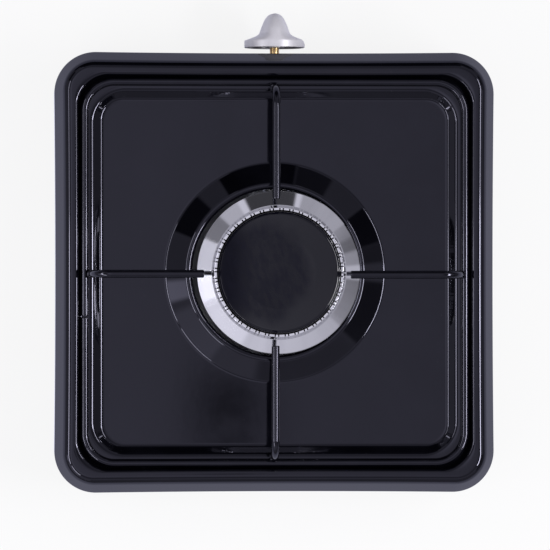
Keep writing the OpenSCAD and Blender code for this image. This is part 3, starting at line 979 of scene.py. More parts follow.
@dataclass
class BodyShell:
    """The pressed and enamelled body: side walls, shoulder, rim, ledge, tray and collar."""

    half: float = SHELL_HIGH.x
    side_draft: float = 0.1 * MM
    side_bow: float = 0.7 * MM
    corner_radius: float = 26.3 * MM
    corner_taper: float = 1.142
    sheet: float = 0.8 * MM
    skirt_z: float = SHELL_LOW.z
    flange_width: float = 14.0 * MM
    rim_z: float = SHELL_HIGH.z
    rim_width: float = 3.7 * MM
    well_lean: float = 1.0 * MM
    shoulder_width: float = 11.0 * MM
    shoulder_bends: tuple[tuple[float, float], ...] = ((4.8 * MM, 30.0), (8.8 * MM, 62.0))
    ledge_z: float = 67.5 * MM
    ledge_inner: float = 115.9 * MM
    tray_z: float = 62.4 * MM
    tray_half: float = 110.1 * MM
    collar_foot: float = 69.64 * MM
    collar_slope: float = math.radians(33.2)
    hole_radius: float = 52.7 * MM
    lip_bend: float = 2.7 * MM
    lip_foot_z: float = 67.7 * MM
    turn_width: float = 6.0 * MM
    knob_hole: float = 4.5 * MM
    hose_hole: float = 12.0 * MM
    arc_points: int = 26
    side_points: int = 24

    @property
    def side(self) -> float:
        """Return the distance from the middle to the top of a side wall."""
        return self.half - self.side_draft

    def shoulder_corners(self) -> list[Corner]:
        """Work out the bent shoulder, from the top of the side wall to the rim.

        Returns:
            Corners from the outside inwards.
        """
        out, up, slope = self.side - self.shoulder_width, self.rim_z, 0.0
        bend = [Corner(out, up, plan=self.plan_radius(out))]
        for radius, degrees in self.shoulder_bends:
            for steeper in np.linspace(slope, math.radians(degrees), 8)[1:]:
                out += radius * (math.sin(steeper) - math.sin(slope))
                up -= radius * (math.cos(slope) - math.cos(steeper))
                slope = float(steeper)
                bend.append(Corner(out, up, plan=self.plan_radius(out)))
        foot_z = up - (self.side - out) * math.tan(slope)
        return [Corner(self.side, foot_z, 1.2 * MM, self.corner_radius), *reversed(bend)]

    def plan_radius(self, half: float) -> float:
        """Return the corner radius in plan on the shoulder, at a distance from the middle."""
        return self.corner_radius - self.corner_taper * (self.side - half)

    def outer_profile(self) -> np.ndarray:
        """Work out the outer face of the sheet, from the foot flange to the burner hole.

        Returns:
            Rows of out, up and plan radius.
        """
        rim_in = self.side - self.shoulder_width - self.rim_width
        corners = [
            Corner(self.half - self.flange_width, self.skirt_z, 0.0, 40.0 * MM),
            Corner(self.half, self.skirt_z, 1.3 * MM, self.corner_radius),
            *self.shoulder_corners(),
            Corner(rim_in, self.rim_z, 2.1 * MM, 19.6 * MM),
            Corner(rim_in - self.well_lean, self.ledge_z, 2.0 * MM, 19.5 * MM),
            Corner(self.ledge_inner, self.ledge_z, 4.8 * MM, 21.3 * MM),
            Corner(self.tray_half, self.tray_z, 3.7 * MM, 13.7 * MM),
            Corner(self.tray_half - self.turn_width, self.tray_z, 0.0, 13.7 * MM),
        ]
        return np.vstack([filleted(corners), filleted(self.collar_corners())])

    def collar_corners(self) -> list[Corner]:
        """Work out the collar, from the tray floor up its cone and down its rolled lip.

        Returns:
            Corners from the outside inwards.
        """
        apex_z = self.tray_z + (self.collar_foot - self.hole_radius) * math.tan(self.collar_slope)
        return [
            Corner(self.collar_foot + self.turn_width, self.tray_z),
            Corner(self.collar_foot, self.tray_z, 2.8 * MM),
            Corner(self.hole_radius, apex_z, self.lip_bend),
            Corner(self.hole_radius, self.lip_foot_z),
        ]

    def square_ring(self, half: float, radius: float) -> np.ndarray:
        """Draw one rounded square with slightly hollow sides, counted from +X +Y.

        Args:
            half: Half width at the corners.
            radius: Corner radius.

        Returns:
            Points in plan.
        """
        bow = self.side_bow * max(0.0, (half - self.tray_half) / (self.half - self.tray_half))
        share = 1.0 - 2.0 * np.arange(1, self.side_points) / self.side_points
        side = np.stack([share * (half - radius), half - bow * (1.0 - share**2)], axis=1)
        return four_times(np.vstack([half - radius + quarter_arc(radius, self.arc_points), side]))

    def round_ring(self, radius: float) -> np.ndarray:
        """Draw one circle, with as many points as a rounded square has.

        Args:
            radius: Radius of the circle.

        Returns:
            Points in plan.
        """
        count = 4 * (self.arc_points + self.side_points)
        start = math.pi / 4 - math.pi * self.arc_points / count
        angles = start + np.arange(count) * 2 * math.pi / count
        return radius * np.stack([np.cos(angles), np.sin(angles)], axis=1)

    def rings(self, rows: np.ndarray) -> np.ndarray:
        """Run a profile round the body.

        Args:
            rows: Rows of out, up and plan radius; a plan radius of 0 marks a circle.

        Returns:
            One ring for each row.
        """
        made = []
        for out, up, plan in rows:
            flat = self.round_ring(out) if plan <= 0.0 else self.square_ring(out, plan)
            made.append(np.column_stack([flat, np.full(len(flat), up)]))
        return np.array(made)

    def build(self) -> None:
        """Make the shell and its two holes, in place of the plain one."""
        outer = self.outer_profile()
        inner = inner_profile(outer, self.sheet)
        # corners in plan keep one centre through the sheet, and 0 still marks a circle
        inner[:, 2] = np.where(outer[:, 2] > 0.0, outer[:, 2] + inner[:, 0] - outer[:, 0], 0.0)
        mesh = Mesh()
        mesh.add_rings(self.rings(np.vstack([outer, inner[::-1]])), closed_along=True)
        shell = mesh.piece("pressed_body", Slot.BLACK_ENAMEL, Body.BASE)
        cut_round_hole(shell, Vector((SPINDLE.x, -self.half, SPINDLE.z)), self.knob_hole)
        cut_round_hole(shell, Vector((NOZZLE.x, self.half, NOZZLE.z)), self.hose_hole)
        smooth(shell)
        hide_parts("body_shell")


# ----------------------------------------------------------------- pan support


@dataclass
class PanSupport:
    """The lift-off wire frame: a ring that lies on the ledge and four welded fingers."""

    wire: float = 2.5 * MM
    ring_half: float = 120.7 * MM
    ring_corner: float = 19.0 * MM
    ring_z: float = middle_of("support_ring").z
    joint_y: float = 28.0 * MM
    joint_gap: float = 0.7 * MM
    finger_z: float = 97.0 * MM
    finger_tip: float = 46.1 * MM
    finger_bend: float = 12.0 * MM
    leg_x: float = 116.0 * MM
    leg_foot_z: float = 67.8 * MM
    weld_reach: tuple[float, float, float] = (1.5 * MM, 2.7 * MM, 2.1 * MM)
    sides: int = 48
    guard: float = 1.0 * MM
    fingers: Sequence[tuple[str, float]] = (
        ("finger_right", 0.9 * MM),
        ("finger_rear", -1.2 * MM),
        ("finger_left", -1.5 * MM),
        ("finger_front", 0.6 * MM),
    )

    def ring_path(self) -> np.ndarray:
        """Bend the ring, from one side of its butt joint round to the other.

        Returns:
            Points of its centreline.
        """
        corner = self.ring_half - self.ring_corner + quarter_arc(self.ring_corner)
        start = [[self.ring_half, self.joint_y + self.joint_gap / 2]]
        end = [[self.ring_half, self.joint_y - self.joint_gap / 2]]
        flat = np.vstack([start, four_times(corner), end])
        return guarded(np.column_stack([flat, np.full(len(flat), self.ring_z)]), self.guard)

    def finger_path(self) -> np.ndarray:
        """Bend the finger at +X, from its foot to its tip.

        Returns:
            Points of its centreline.
        """
        bend = quarter_arc(self.finger_bend) - self.finger_bend + (self.leg_x, self.finger_z)
        foot, tip = [[self.leg_x, self.leg_foot_z]], [[self.finger_tip, self.finger_z]]
        flat = guarded(np.vstack([foot, bend, tip]), self.guard)
        return np.insert(flat, 1, 0.0, axis=1)

    def rounded_ends(self, path: np.ndarray, chamfer: float) -> tuple[np.ndarray, list[float]]:
        """Add rings that round off both cut ends of a wire.

        Args:
            path: Centreline, end to end.
            chamfer: Radius of the rounding.

        Returns:
            The longer centreline and the wire's radius at each of its points.
        """
        cosine, sine = quarter_arc(chamfer, 5)[::-1].T
        ends = []
        for tip, inner in ((path[0], path[1]), (path[-1], path[-2])):
            inward = (inner - tip) / np.linalg.norm(inner - tip)
            ends.append(tip + np.outer(chamfer - sine, inward))
        radii = (self.wire - chamfer + cosine).tolist()
        whole = np.vstack([ends[0], path[1:-1], ends[1][::-1]])
        return whole, [*radii, *[self.wire] * (len(path) - 2), *radii[::-1]]

    def weld(self, mesh: Mesh) -> None:
        """Add the nugget that joins a finger's leg to the ring, at +X.

        Args:
            mesh: Mesh of the finger.
        """
        centre = np.array([self.leg_x + self.wire - 0.15 * MM, 0.0, self.ring_z])
        reach = np.array(self.weld_reach)
        polar = np.linspace(0.12, math.pi - 0.12, 13)
        around = np.linspace(0.0, 2 * math.pi, 28, endpoint=False)
        lump = 1.0 + 0.07 * np.sin(3.0 * around)[None, :] * np.sin(2.0 * polar)[:, None]
        unit = np.stack(
            [
                np.sin(polar)[:, None] * np.cos(around),
                np.cos(polar)[:, None] * np.ones_like(around),
                np.sin(polar)[:, None] * np.sin(around),
            ],
            axis=-1,
        )
        mesh.add_rings(centre + unit * lump[..., None] * reach, capped=True)

    def build(self) -> None:
        """Make the ring and the fingers, in place of the plain ones."""
        path, radii = self.rounded_ends(self.ring_path(), 0.45 * MM)
        ring = Mesh()
        ring.add_rings(swept(path, radii, self.sides, Vector((0, 0, 1))), capped=True)
        made = ring.piece("wire_ring", Slot.WIRE_ENAMEL, Body.PAN_SUPPORT)
        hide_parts("support_ring")
        path, radii = self.rounded_ends(self.finger_path(), 0.6 * MM)
        for quarter, (node, shift) in enumerate(self.fingers):
            mesh = Mesh()
            mesh.add_rings(swept(path, radii, self.sides, Vector((0, 1, 0))), capped=True)
            self.weld(mesh)
            turn = Matrix.Rotation(quarter * math.pi / 2, 4, "Z")
            move = turn @ Matrix.Translation((0.0, shift, 0.0))
            mesh.points = [tuple(move @ Vector(point)) for point in mesh.points]
            finger = mesh.piece("wire_" + node, Slot.WIRE_ENAMEL, Body.PAN_SUPPORT)
            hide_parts(node)


# ---------------------------------------------------------------------- burner


@dataclass
class Burner:
    """Crown and cap of the burner; cup, tube and bracket keep their plain shape."""

    centre_x: float = BURNER_X
    spigot: float = 36.0 * MM
    spigot_wall: float = 2.0 * MM
    spigot_depth: float = 4.0 * MM
    cup_top_z: float = 66.4 * MM
    skirt_radius: float = 51.85 * MM
    skirt_edge_z: float = 72.3 * MM
    teeth_radius: float = 41.0 * MM
    teeth_top_z: float = 80.4 * MM
    slot_depth: float = 2.65 * MM
    slot_pairs: int = 40
    # share of the pitch, steps round it, and whether it is a slot
    tooth_plan: Sequence[tuple[float, int, bool]] = (
        (0.54, 6, False),
        (0.115, 1, True),
        (0.23, 3, False),
        (0.115, 1, True),
    )
    land: float = 1.6 * MM
    seat_drop: float = 1.0 * MM
    cap_radius: float = 38.4 * MM
    cap_thickness: float = 5.5 * MM
    cap_edge: float = 2.4 * MM

    @property
    def seat_z(self) -> float:
        """Return the height of the seat that the cap rests on."""
        return self.teeth_top_z - self.seat_drop

    def tooth_angles(self) -> tuple[np.ndarray, np.ndarray]:
        """Space the teeth and slots round the crown.

        Returns:
            The angles of the crown's columns, and whether each lies in a slot.
        """
        pitch = 2 * math.pi / self.slot_pairs
        wall = 0.008 * pitch
        angles, in_slot = [], []
        edge = 0.0
        for share, steps, is_slot in self.tooth_plan:
            width = share * pitch
            angles += np.linspace(edge + wall, edge + width - wall, steps + 1).tolist()
            in_slot += [is_slot] * (steps + 1)
            edge += width
        every = [np.array(angles) + index * pitch for index in range(self.slot_pairs)]
        return np.concatenate(every), np.tile(np.array(in_slot), self.slot_pairs)

    def crown_profile(self) -> np.ndarray:
        """Work out the crown's section through a tooth.

        Returns:
            Rows of out, up and an unused plan radius.
        """
        inner = self.spigot - self.spigot_wall
        neck = self.spigot + 3.0 * MM
        foot = Corner(self.skirt_radius - 0.1 * MM, self.skirt_edge_z + 0.2 * MM, 0.35 * MM)
        root = Corner(self.teeth_radius + 1.7 * MM, self.teeth_top_z - 2.7 * MM)
        corners = [
            Corner(inner, self.cup_top_z - self.spigot_depth),
            Corner(self.spigot, self.cup_top_z - self.spigot_depth, 0.3 * MM),
            Corner(self.spigot, self.cup_top_z),
            Corner(neck, self.cup_top_z),
            Corner(neck, self.skirt_edge_z, 1.2 * MM),
            Corner(self.skirt_radius - 3.0 * MM, self.skirt_edge_z - 1.0 * MM, 0.4 * MM),
            Corner(foot.out, self.skirt_edge_z - 1.0 * MM, 0.4 * MM),
            foot,
            *self.skirt_guards(foot, root),
            root,
            Corner(self.teeth_radius + 0.05 * MM, root.up - 0.45 * MM),
            Corner(self.teeth_radius - 0.1 * MM, self.teeth_top_z, 0.2 * MM),
            Corner(self.teeth_radius - self.land, self.teeth_top_z, 0.15 * MM),
            Corner(self.teeth_radius - self.land - 0.7 * MM, self.seat_z, 0.15 * MM),
            Corner(self.spigot + 0.4 * MM, self.seat_z, 0.2 * MM),
            Corner(inner + 0.4 * MM, self.teeth_top_z - self.slot_depth - 0.6 * MM, 0.3 * MM),
        ]
        return filleted(corners)

    @staticmethod
    def skirt_guards(foot: Corner, root: Corner) -> list[Corner]:
        """Place points on the skirt's line that keep its shading clear of the slots.

        Args:
            foot: Corner at the skirt's edge.
            root: Corner at the root of the teeth.

        Returns:
            Corners from the foot side upwards.
        """
        start, end = Vector((root.out, root.up)), Vector((foot.out, foot.up))
        along = (end - start).normalized()
        return [Corner(*(start + along * distance * MM)) for distance in (1.2, 0.8, 0.4)]

    def build_crown(self) -> None:
        """Make the crown with its ring of long and short teeth."""
        section = self.crown_profile()
        floor = self.teeth_top_z - self.slot_depth
        angles, in_slot = self.tooth_angles()
        out, up = section[:, :1], section[:, 1:2]
        up = np.where(in_slot[None, :], np.minimum(up, floor), up)
        rings = np.stack([self.centre_x + out * np.cos(angles), out * np.sin(angles), up], axis=-1)
        mesh = Mesh()
        mesh.add_rings(rings, closed_along=True)
        crown = mesh.piece("flame_crown", Slot.POLISHED_ALUMINIUM, Body.CROWN, sharp=32.0)
        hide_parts("burner_crown")

    def build_cap(self) -> None:
        """Make the cap with its rolled edge and the ring that centres it."""
        ring_out = self.spigot - self.spigot_wall - 0.4 * MM
        ring_in = ring_out - 1.8 * MM
        foot = self.seat_z
        top = foot + self.cap_thickness
        corners = [
            Corner(0.05 * MM, foot + 0.9 * MM),
            Corner(ring_in, foot + 0.9 * MM, 0.6 * MM),
            Corner(ring_in, foot - 3.4 * MM, 0.4 * MM),
            Corner(ring_out, foot - 3.4 * MM, 0.4 * MM),
            Corner(ring_out, foot, 0.4 * MM),
            Corner(self.cap_radius - 0.7 * MM, foot, 0.3 * MM),
            Corner(self.cap_radius, foot + 0.7 * MM, 0.3 * MM),
            Corner(self.cap_radius, top - 0.5 * MM, self.cap_edge),
            Corner(self.cap_radius * 0.6, top - 0.15 * MM, 30.0 * MM),
            Corner(0.05 * MM, top),
        ]
        section = filleted(corners, math.radians(7.0))
        mesh = Mesh()
        mesh.add_rings(revolved(section, 192) + (self.centre_x, 0.0, 0.0), capped=True)
        cap = mesh.piece("enamelled_cap", Slot.CAP_ENAMEL, Body.CAP)
        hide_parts("burner_cap")

    def build(self) -> None:
        """Make the crown and the cap."""
        self.build_crown()
        self.build_cap()


# ------------------------------------------------------------------------ knob


@dataclass(frozen=True)
class KnobStation:
    """One outline of the knob.

    Attributes:
        rise: Distance in front of the knob's back face.
        across: Half width, along X.
        tall: Half height, along Z.
        squareness: 2 for an ellipse, more for a squarer outline.
    """

    rise: float
    across: float
    tall: float
    squareness: float = 2.0


@dataclass
class Knob:
    """The push-and-turn knob: a round skirt that flares up into a bar grip."""

    centre_x: float = SPINDLE.x
    back_y: float = -143.8 * MM
    centre_z: float = SPINDLE.z
    skirt_radius: float = 19.3 * MM
    wall: float = 2.0 * MM
    hollow_depth: float = 3.5 * MM
    hub_radius: float = 6.2 * MM
    bore_radius: float = 3.05 * MM
    bore_depth: float = 13.9 * MM
    mark_radius: float = 3.6 * MM
    mark_rise: float = 1.5 * MM
    count: int = 144

    def stations(self) -> list[KnobStation]:
        """List the outlines from the edge of the skirt to the tip of the grip.

        Returns:
            Stations in metres.
        """
        skirt = self.skirt_radius / MM
        rows = [(rise, skirt, skirt, 2.0) for rise in np.linspace(0.4, 4.2, 9)]
        rows += [
            (4.5, skirt - 0.08, skirt - 0.02, 2.0),
            (4.8, skirt - 0.5, skirt - 0.06, 2.0),
            (5.2, 17.6, 19.16, 2.02),
            (5.75, 16.0, 19.08, 2.05),
            (6.3, 14.5, 18.98, 2.08),
            (6.75, 13.3, 18.88, 2.1),
            (7.4, 12.0, 18.76, 2.1),
            (8.0, 11.0, 18.62, 2.1),
            (8.7, 10.2, 18.46, 2.12),
            (9.4, 9.7, 18.28, 2.14),
            (10.6, 9.25, 17.96, 2.16),
            (11.8, 8.85, 17.58, 2.18),
            (13.1, 8.4, 17.1, 2.2),
            (14.4, 7.87, 16.54, 2.2),
            (15.7, 7.3, 15.9, 2.2),
            (16.8, 6.82, 15.3, 2.18),
            (17.8, 6.35, 14.7, 2.16),
            (18.7, 5.82, 14.1, 2.14),
            (19.5, 5.25, 13.45, 2.12),
            (20.2, 4.6, 12.75, 2.1),
            (20.75, 3.9, 12.05, 2.08),
            (21.15, 3.15, 11.3, 2.05),
            (21.42, 2.35, 10.5, 2.02),
            (21.58, 1.4, 9.6, 2.0),
            (21.64, 0.2, 8.5, 2.0),
        ]
        return [KnobStation(*(length * MM for length in row[:3]), row[3]) for row in rows]

    def outline(self, station: KnobStation) -> np.ndarray:
        """Draw one outline, with the rounded-off edge that marks the setting.

        Args:
            station: Place and size of the outline.

        Returns:
            Points in the frame of the scene.
        """
        angles = np.linspace(0.0, 2 * math.pi, self.count, endpoint=False)
        cosine, sine = np.cos(angles), np.sin(angles)
        power = 2.0 / station.squareness
        x = station.across * np.sign(cosine) * np.abs(cosine) ** power
        z = station.tall * np.sign(sine) * np.abs(sine) ** power
        above = station.rise - self.mark_rise
        if 0.0 < above < self.mark_radius:
            limit = self.skirt_radius - self.mark_radius + math.sqrt(self.mark_radius**2 - above**2)
            x = np.maximum(x, -limit)
        return self.placed(x, np.full_like(x, station.rise), z)

    def placed(self, x: np.ndarray, rise: np.ndarray, z: np.ndarray) -> np.ndarray:
        """Return points on the knob from their places round its axis and before its back."""
        return np.stack([self.centre_x + x, self.back_y - rise, self.centre_z + z], axis=-1)

    def back_rings(self) -> np.ndarray:
        """Turn the hollow back, from the bottom of the bore out to the skirt's edge.

        Returns:
            Rings in the frame of the scene.
        """
        corners = [
            Corner(0.05 * MM, self.bore_depth),
            Corner(self.bore_radius, self.bore_depth),
            Corner(self.bore_radius, 0.0, 0.3 * MM),
            Corner(self.hub_radius, 0.0, 0.4 * MM),
            Corner(self.hub_radius, self.hollow_depth, 0.4 * MM),
            Corner(self.skirt_radius - self.wall, self.hollow_depth, 0.6 * MM),
            Corner(self.skirt_radius - self.wall, 0.0, 0.3 * MM),
            Corner(self.skirt_radius, 0.0, 0.35 * MM),
            Corner(self.skirt_radius, 0.39 * MM),
        ]
        turned = revolved(filleted(corners), self.count)
        return self.placed(turned[..., 0], turned[..., 2], turned[..., 1])

    def build(self) -> None:
        """Make the knob, in place of the plain one."""
        front = np.array([self.outline(station) for station in self.stations()])
        mesh = Mesh()
        mesh.add_rings(np.concatenate([self.back_rings(), front]), capped=True)
        knob = mesh.piece("tap_knob", Slot.SILVER_PLASTIC, Body.KNOB, sharp=50.0)
        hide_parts("knob")


# ----------------------------------------------------------------- plain nodes


@dataclass
class KeptNodes:
    """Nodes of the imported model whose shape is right, and the finish of each."""

    finishes: Mapping[Slot, Sequence[str]] = field(
        default_factory=lambda: {
            Slot.BLACK_RUBBER: (
                "foot_front_left", "foot_front_right", "foot_rear_left", "foot_rear_right",
            ),
            Slot.CAST_ALUMINIUM: ("burner_cup",),
            Slot.ZINC_STEEL: (
                "foot_screws", "mixing_tube", "burner_bracket", "bracket_studs", "bracket_nuts",
                "cup_screws", "tap_spring", "gland_plate", "gland_screws", "knob_clip",
                "inlet_pipe", "inlet_bracket",
            ),
            Slot.BRASS: (
                "injector_jet", "tap_body", "tap_plug", "tap_spindle", "pipe_nut", "nozzle_nut",
                "hose_nozzle",
            ),
        }
    )

    def build(self) -> None:
        """Dress each node."""
        for slot, names in self.finishes.items():
            for name in names:
                dress(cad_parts[name], slot)
                LOG.info("node %s: dressed in %s", name, slot.value)


# ---------------------------------------------------------------------- studio


@dataclass(frozen=True)
class Softbox:
    """A long soft light that hangs level and faces the hob.

    Attributes:
        name: Name of the lamp.
        bearing: Direction of its middle in degrees, from +X towards +Y.
        elevation: Height above the horizon as seen from the hob, in degrees.
        brightness: Brightness of its face; 1 is white.
        length: Level length.
        width: Width across.
        distance: Distance from the hob.
    """

    name: str
    bearing: float
    elevation: float
    brightness: float
    length: float = 0.56
    width: float = 0.20
    distance: float = 1.3

    def build(self, target: Vector) -> None:
        """Hang the lamp so that it faces a point.

        Args:
            target: The point.
        """
        lamp = bpy.data.lights.new(self.name, "AREA")
        lamp.shape = "RECTANGLE"
        lamp.size = self.length
        lamp.size_y = self.width
        lamp.color = (0.97, 0.96, 1.0)
        lamp.energy = self.brightness * math.pi * self.length * self.width
        tilt, turn = math.radians(self.elevation), math.radians(self.bearing)
        level = Vector((math.cos(turn), math.sin(turn), 0.0))
        outward = level * math.cos(tilt) + Vector((0.0, 0.0, math.sin(tilt)))
        along = Vector((-math.sin(turn), math.cos(turn), 0.0))
        made = linked(self.name, lamp)
        made.location = target + outward * self.distance
        made.rotation_euler = Matrix((along, outward.cross(along), outward)).transposed().to_euler()
        LOG.info("lamp %s", self.name)


@dataclass(frozen=True)
class Patch:
    """A part of the room that reflections show.

    Attributes:
        bearing: Direction of its middle in degrees, from +X towards +Y.
        width: Width in degrees.
        band: Elevations of its lower and upper edge in degrees.
        level: Brightness; 1 is white.
        softness: Width of its blurred edges in degrees.
    """

    bearing: float
    width: float
    band: tuple[float, float]
    level: float
    softness: float = 3.0

    def cover(self, bearing: Value, elevation: Value) -> Value:
        """Mark the directions that the patch fills.

        Args:
            bearing: Bearing of a direction in degrees.
            elevation: Elevation of a direction in degrees.

        Returns:
            1 inside the patch and 0 outside it.
        """
        away = (bearing - self.bearing).magnitude()
        away = away.lesser(360.0 - away)
        half = self.softness / 2
        outside = away.eased(self.width / 2 - half, self.width / 2 + half)
        above, past = (elevation.eased(edge - half, edge + half) for edge in self.band)
        return (1.0 - outside) * above * (1.0 - past)


# Elevations in degrees of what the tray's steep sides, the collar and the crown's skirt reflect
HORIZON = (-5.0, 15.0)
LOW_BAND = (14.0, 27.0)
HIGH_BAND = (27.0, 38.0)


@dataclass
class Studio:
    """Camera, pale floor, soft lamps and the room round them.

    Outside the hob's footprint the floor glows a little: for the camera evenly, and for
    glossy faces with painted light, bright on one side and with painted shade on the others. The room's
    levels run from the low wall up to the zenith. There, boom gives the middle and the half widths of a
    dark gap along X and Y, as parts of a direction, boom_level the share of light that the gap leaves, and
    zenith_slope how fast the ceiling brightens along X and Y.
    """

    camera_height: float = 3.0
    camera_side: float = 0.15
    target: tuple[float, float, float] = (-0.0001, 0.0017, 0.064)
    picture_width: float = 0.3493
    sensor: float = 36.0
    pale: Colour = (0.97, 0.97, 0.97)
    mirrored_floor: Colour = (0.86, 0.87, 1.12)
    shaded_floor: Colour = (0.35, 0.355, 0.49)
    floor_reach: float = 4.0
    footprint: float = 0.100
    footprint_edge: float = 0.03
    glow: float = 0.89
    mirrored_glow: float = 0.85
    room_tint: Colour = (0.97, 0.96, 1.10)
    zenith: float = 0.80
    middle: float = 0.34
    high_wall: float = 0.62
    wall: float = 0.48
    low_wall: float = 0.28
    boom: tuple[float, float, float, float] = (-0.0415, 0.030, 0.0115, 0.0195)
    boom_level: float = 0.22
    zenith_slope: tuple[float, float] = (2.0, 0.6)
    softboxes: Sequence[Softbox] = (
        Softbox("softbox_left_far", 13.0, 38.0, 11.0),
        Softbox("softbox_left_near", -13.0, 38.0, 4.6),
        Softbox("softbox_left_back", 45.0, 38.0, 9.0, length=0.44),
        Softbox("softbox_right_far", 166.0, 48.0, 27.0),
        Softbox("softbox_right_near", -166.0, 48.0, 12.5),
    )
    patches: Sequence[Patch] = (
        Patch(0.0, 50.0, HORIZON, 0.42, 6.0),
        Patch(-90.0, 84.0, HORIZON, 0.0, 8.0),
        Patch(180.0, 70.0, HORIZON, 0.22, 8.0),
        Patch(-170.0, 10.0, LOW_BAND, 0.17),
        Patch(-155.0, 20.0, LOW_BAND, 0.02),
        Patch(-135.0, 20.0, LOW_BAND, 0.32),
        Patch(-115.0, 20.0, LOW_BAND, 0.065),
        Patch(-83.0, 44.0, LOW_BAND, 0.0),
        Patch(-54.0, 14.0, LOW_BAND, 0.32),
        Patch(-35.0, 24.0, LOW_BAND, 0.02),
        Patch(-10.0, 26.0, LOW_BAND, 0.36),
        Patch(40.0, 34.0, LOW_BAND, 0.95, 6.0),
        Patch(70.0, 26.0, LOW_BAND, 0.62, 6.0),
        Patch(112.0, 58.0, LOW_BAND, 0.34, 8.0),
        Patch(158.0, 34.0, LOW_BAND, 0.09),
        Patch(11.0, 12.0, (19.0, 26.5), 2.3, 4.0),
        Patch(-170.0, 9.0, HIGH_BAND, 0.50),
        Patch(-160.5, 10.0, HIGH_BAND, 0.18),
        Patch(-133.0, 45.0, HIGH_BAND, 0.36),
        Patch(-87.0, 38.0, (27.0, 40.0), 0.045),
        Patch(-64.0, 1.6, HIGH_BAND, 0.62, 1.0),
        Patch(-54.0, 16.0, HIGH_BAND, 0.45),
        Patch(-36.0, 20.0, HIGH_BAND, 0.20),
        Patch(13.0, 22.0, HIGH_BAND, 1.06, 6.0),
        Patch(45.0, 42.0, HIGH_BAND, 0.76, 6.0),
        Patch(158.0, 26.0, HIGH_BAND, 0.28),
    )

    def build_camera(self) -> None:
        """Set the camera above the hob, with the knob at the top of the picture."""
        target = Vector(self.target)
        place = Vector((self.camera_side, 0.0, self.camera_height))
        view = (target - place).normalized()
        right = view.cross(Vector((0.0, -1.0, 0.0))).normalized()
        up = right.cross(view)
        data = bpy.data.cameras.new("camera")
        data.sensor_width = self.sensor
        data.lens = self.sensor * (place - target).length / self.picture_width
        made = linked("camera", data)
        turn = Matrix((right, up, -view)).transposed().to_4x4()
        made.matrix_world = Matrix.Translation(place) @ turn
        bpy.context.scene.camera = made
        LOG.info("camera with a lens of %.1f mm", data.lens)

    def build_floor(self) -> None:
        """Lay a pale floor that keeps the hob's soft shadow."""
        floor = bpy.data.meshes.new("floor")
        corners = four_times(np.full((1, 2), self.floor_reach))
        floor.from_pydata([(x, y, 0.0) for x, y in corners], [], [(0, 1, 2, 3)])
        floor.materials.append(self.floor_material())
        linked("floor", floor)
        LOG.info("floor")

    def floor_material(self) -> bpy.types.Material:
        """Finish the floor: pale to the eye; in the hob's own reflections it glows with painted light and
        painted shade.

        Returns:
            The floor's material.
        """
        material = bpy.data.materials.new("pale_floor")
        material.use_nodes = True
        material.node_tree.nodes.clear()
        graph = Graph(material.node_tree)
        path = graph.node("ShaderNodeLightPath").socket.node.outputs
        seen = Value(graph, path["Is Camera Ray"]).greater(Value(graph, path["Is Transmission Ray"]))
        mirrored = Value(graph, path["Is Glossy Ray"])
        x, y, _ = graph.parts_of(graph.node("ShaderNodeTexCoord", output="Object"))
        away = x.magnitude().greater(y.magnitude())
        open_floor = away.eased(self.footprint, self.footprint + self.footprint_edge)
        lit = graph.node("ShaderNodeBsdfDiffuse", None, {"Color": (0.80, 0.80, 0.80)})
        plain, bright, shaded = (
            graph.node("ShaderNodeEmission", None, {"Color": colour, "Strength": 1.0})
            for colour in (self.pale, self.mirrored_floor, self.shaded_floor)
        )
        direct = graph.blend_shaders(seen * open_floor * self.glow, lit, plain)
        # painted shade in the glow that glossy rays see: darker towards the knob, on the right and on the
        # far side
        knob_side = y.eased(-0.28, -0.10)
        right_side = x.eased(-0.20, -0.12).between(0.48, 1.0)
        far_side = y.eased(0.12, 0.20).between(1.0, 0.7)
        reflected = graph.blend_shaders(knob_side * right_side * far_side, shaded, bright)
        mixed = graph.blend_shaders(mirrored * open_floor * self.mirrored_glow, direct, reflected)
        graph.node("ShaderNodeOutputMaterial", None, {"Surface": mixed})
        return material

    def build_room(self) -> None:
        """Give the world a soft bright ceiling, and walls with windows and dark gaps."""
        world = bpy.data.worlds.new("room")
        world.use_nodes = True
        world.node_tree.nodes.clear()
        graph = Graph(world.node_tree)
        x, y, z = graph.parts_of(graph.node("ShaderNodeTexCoord", output="Generated"))
        bearing = y.bearing_of(x) * math.degrees(1.0)
        elevation = z.lift_angle()
        level = elevation.eased(13.0, 17.0).between(self.low_wall, self.wall)
        level = elevation.eased(26.0, 28.0).between(level, self.high_wall)
        for patch in self.patches:
            level = patch.cover(bearing, elevation).between(level, patch.level)
        level = elevation.eased(36.0, 46.0).between(level, self.middle)
        boom_x, boom_y, boom_across, boom_along = self.boom
        across, along = (x - boom_x) / boom_across, (y - boom_y) / boom_along
        clear = (across * across + along * along).rooted().eased(0.0, 1.3)
        slope_x, slope_y = self.zenith_slope
        ceiling = (self.zenith + x * slope_x + y * slope_y) * clear.between(self.boom_level, 1.0)
        level = elevation.eased(61.0, 76.0).between(level, ceiling)
        lit, plain = (
            graph.node("ShaderNodeBackground", None, {"Color": colour, "Strength": strength})
            for colour, strength in ((self.room_tint, level), (self.pale, 1.0))
        )
        camera = graph.node("ShaderNodeLightPath", output="Is Camera Ray")
        mixed = graph.blend_shaders(camera, lit, plain)
        graph.node("ShaderNodeOutputWorld", None, {"Surface": mixed})
        bpy.context.scene.world = world
        LOG.info("room")

    def build(self) -> None:
        """Set up everything round the hob."""
        self.build_camera()
        self.build_floor()
        self.build_room()
        for softbox in self.softboxes:
            softbox.build(Vector(self.target))
        bpy.context.scene.view_settings.view_transform = "Standard"


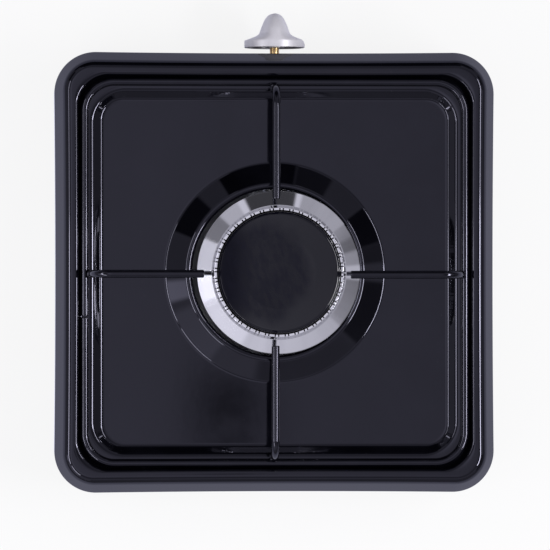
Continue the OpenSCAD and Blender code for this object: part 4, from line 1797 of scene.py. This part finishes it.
def main() -> None:
    """Build the studio and every sub-assembly of the hob."""
    logging.basicConfig(level=logging.INFO, format="%(name)s: %(message)s")
    builders: Sequence[Callable[[], None]] = (
        Studio().build,
        BodyShell().build,
        PanSupport().build,
        Burner().build,
        Knob().build,
        KeptNodes().build,
    )
    for build in builders:
        build()


if __name__ == "__main__":
    main()
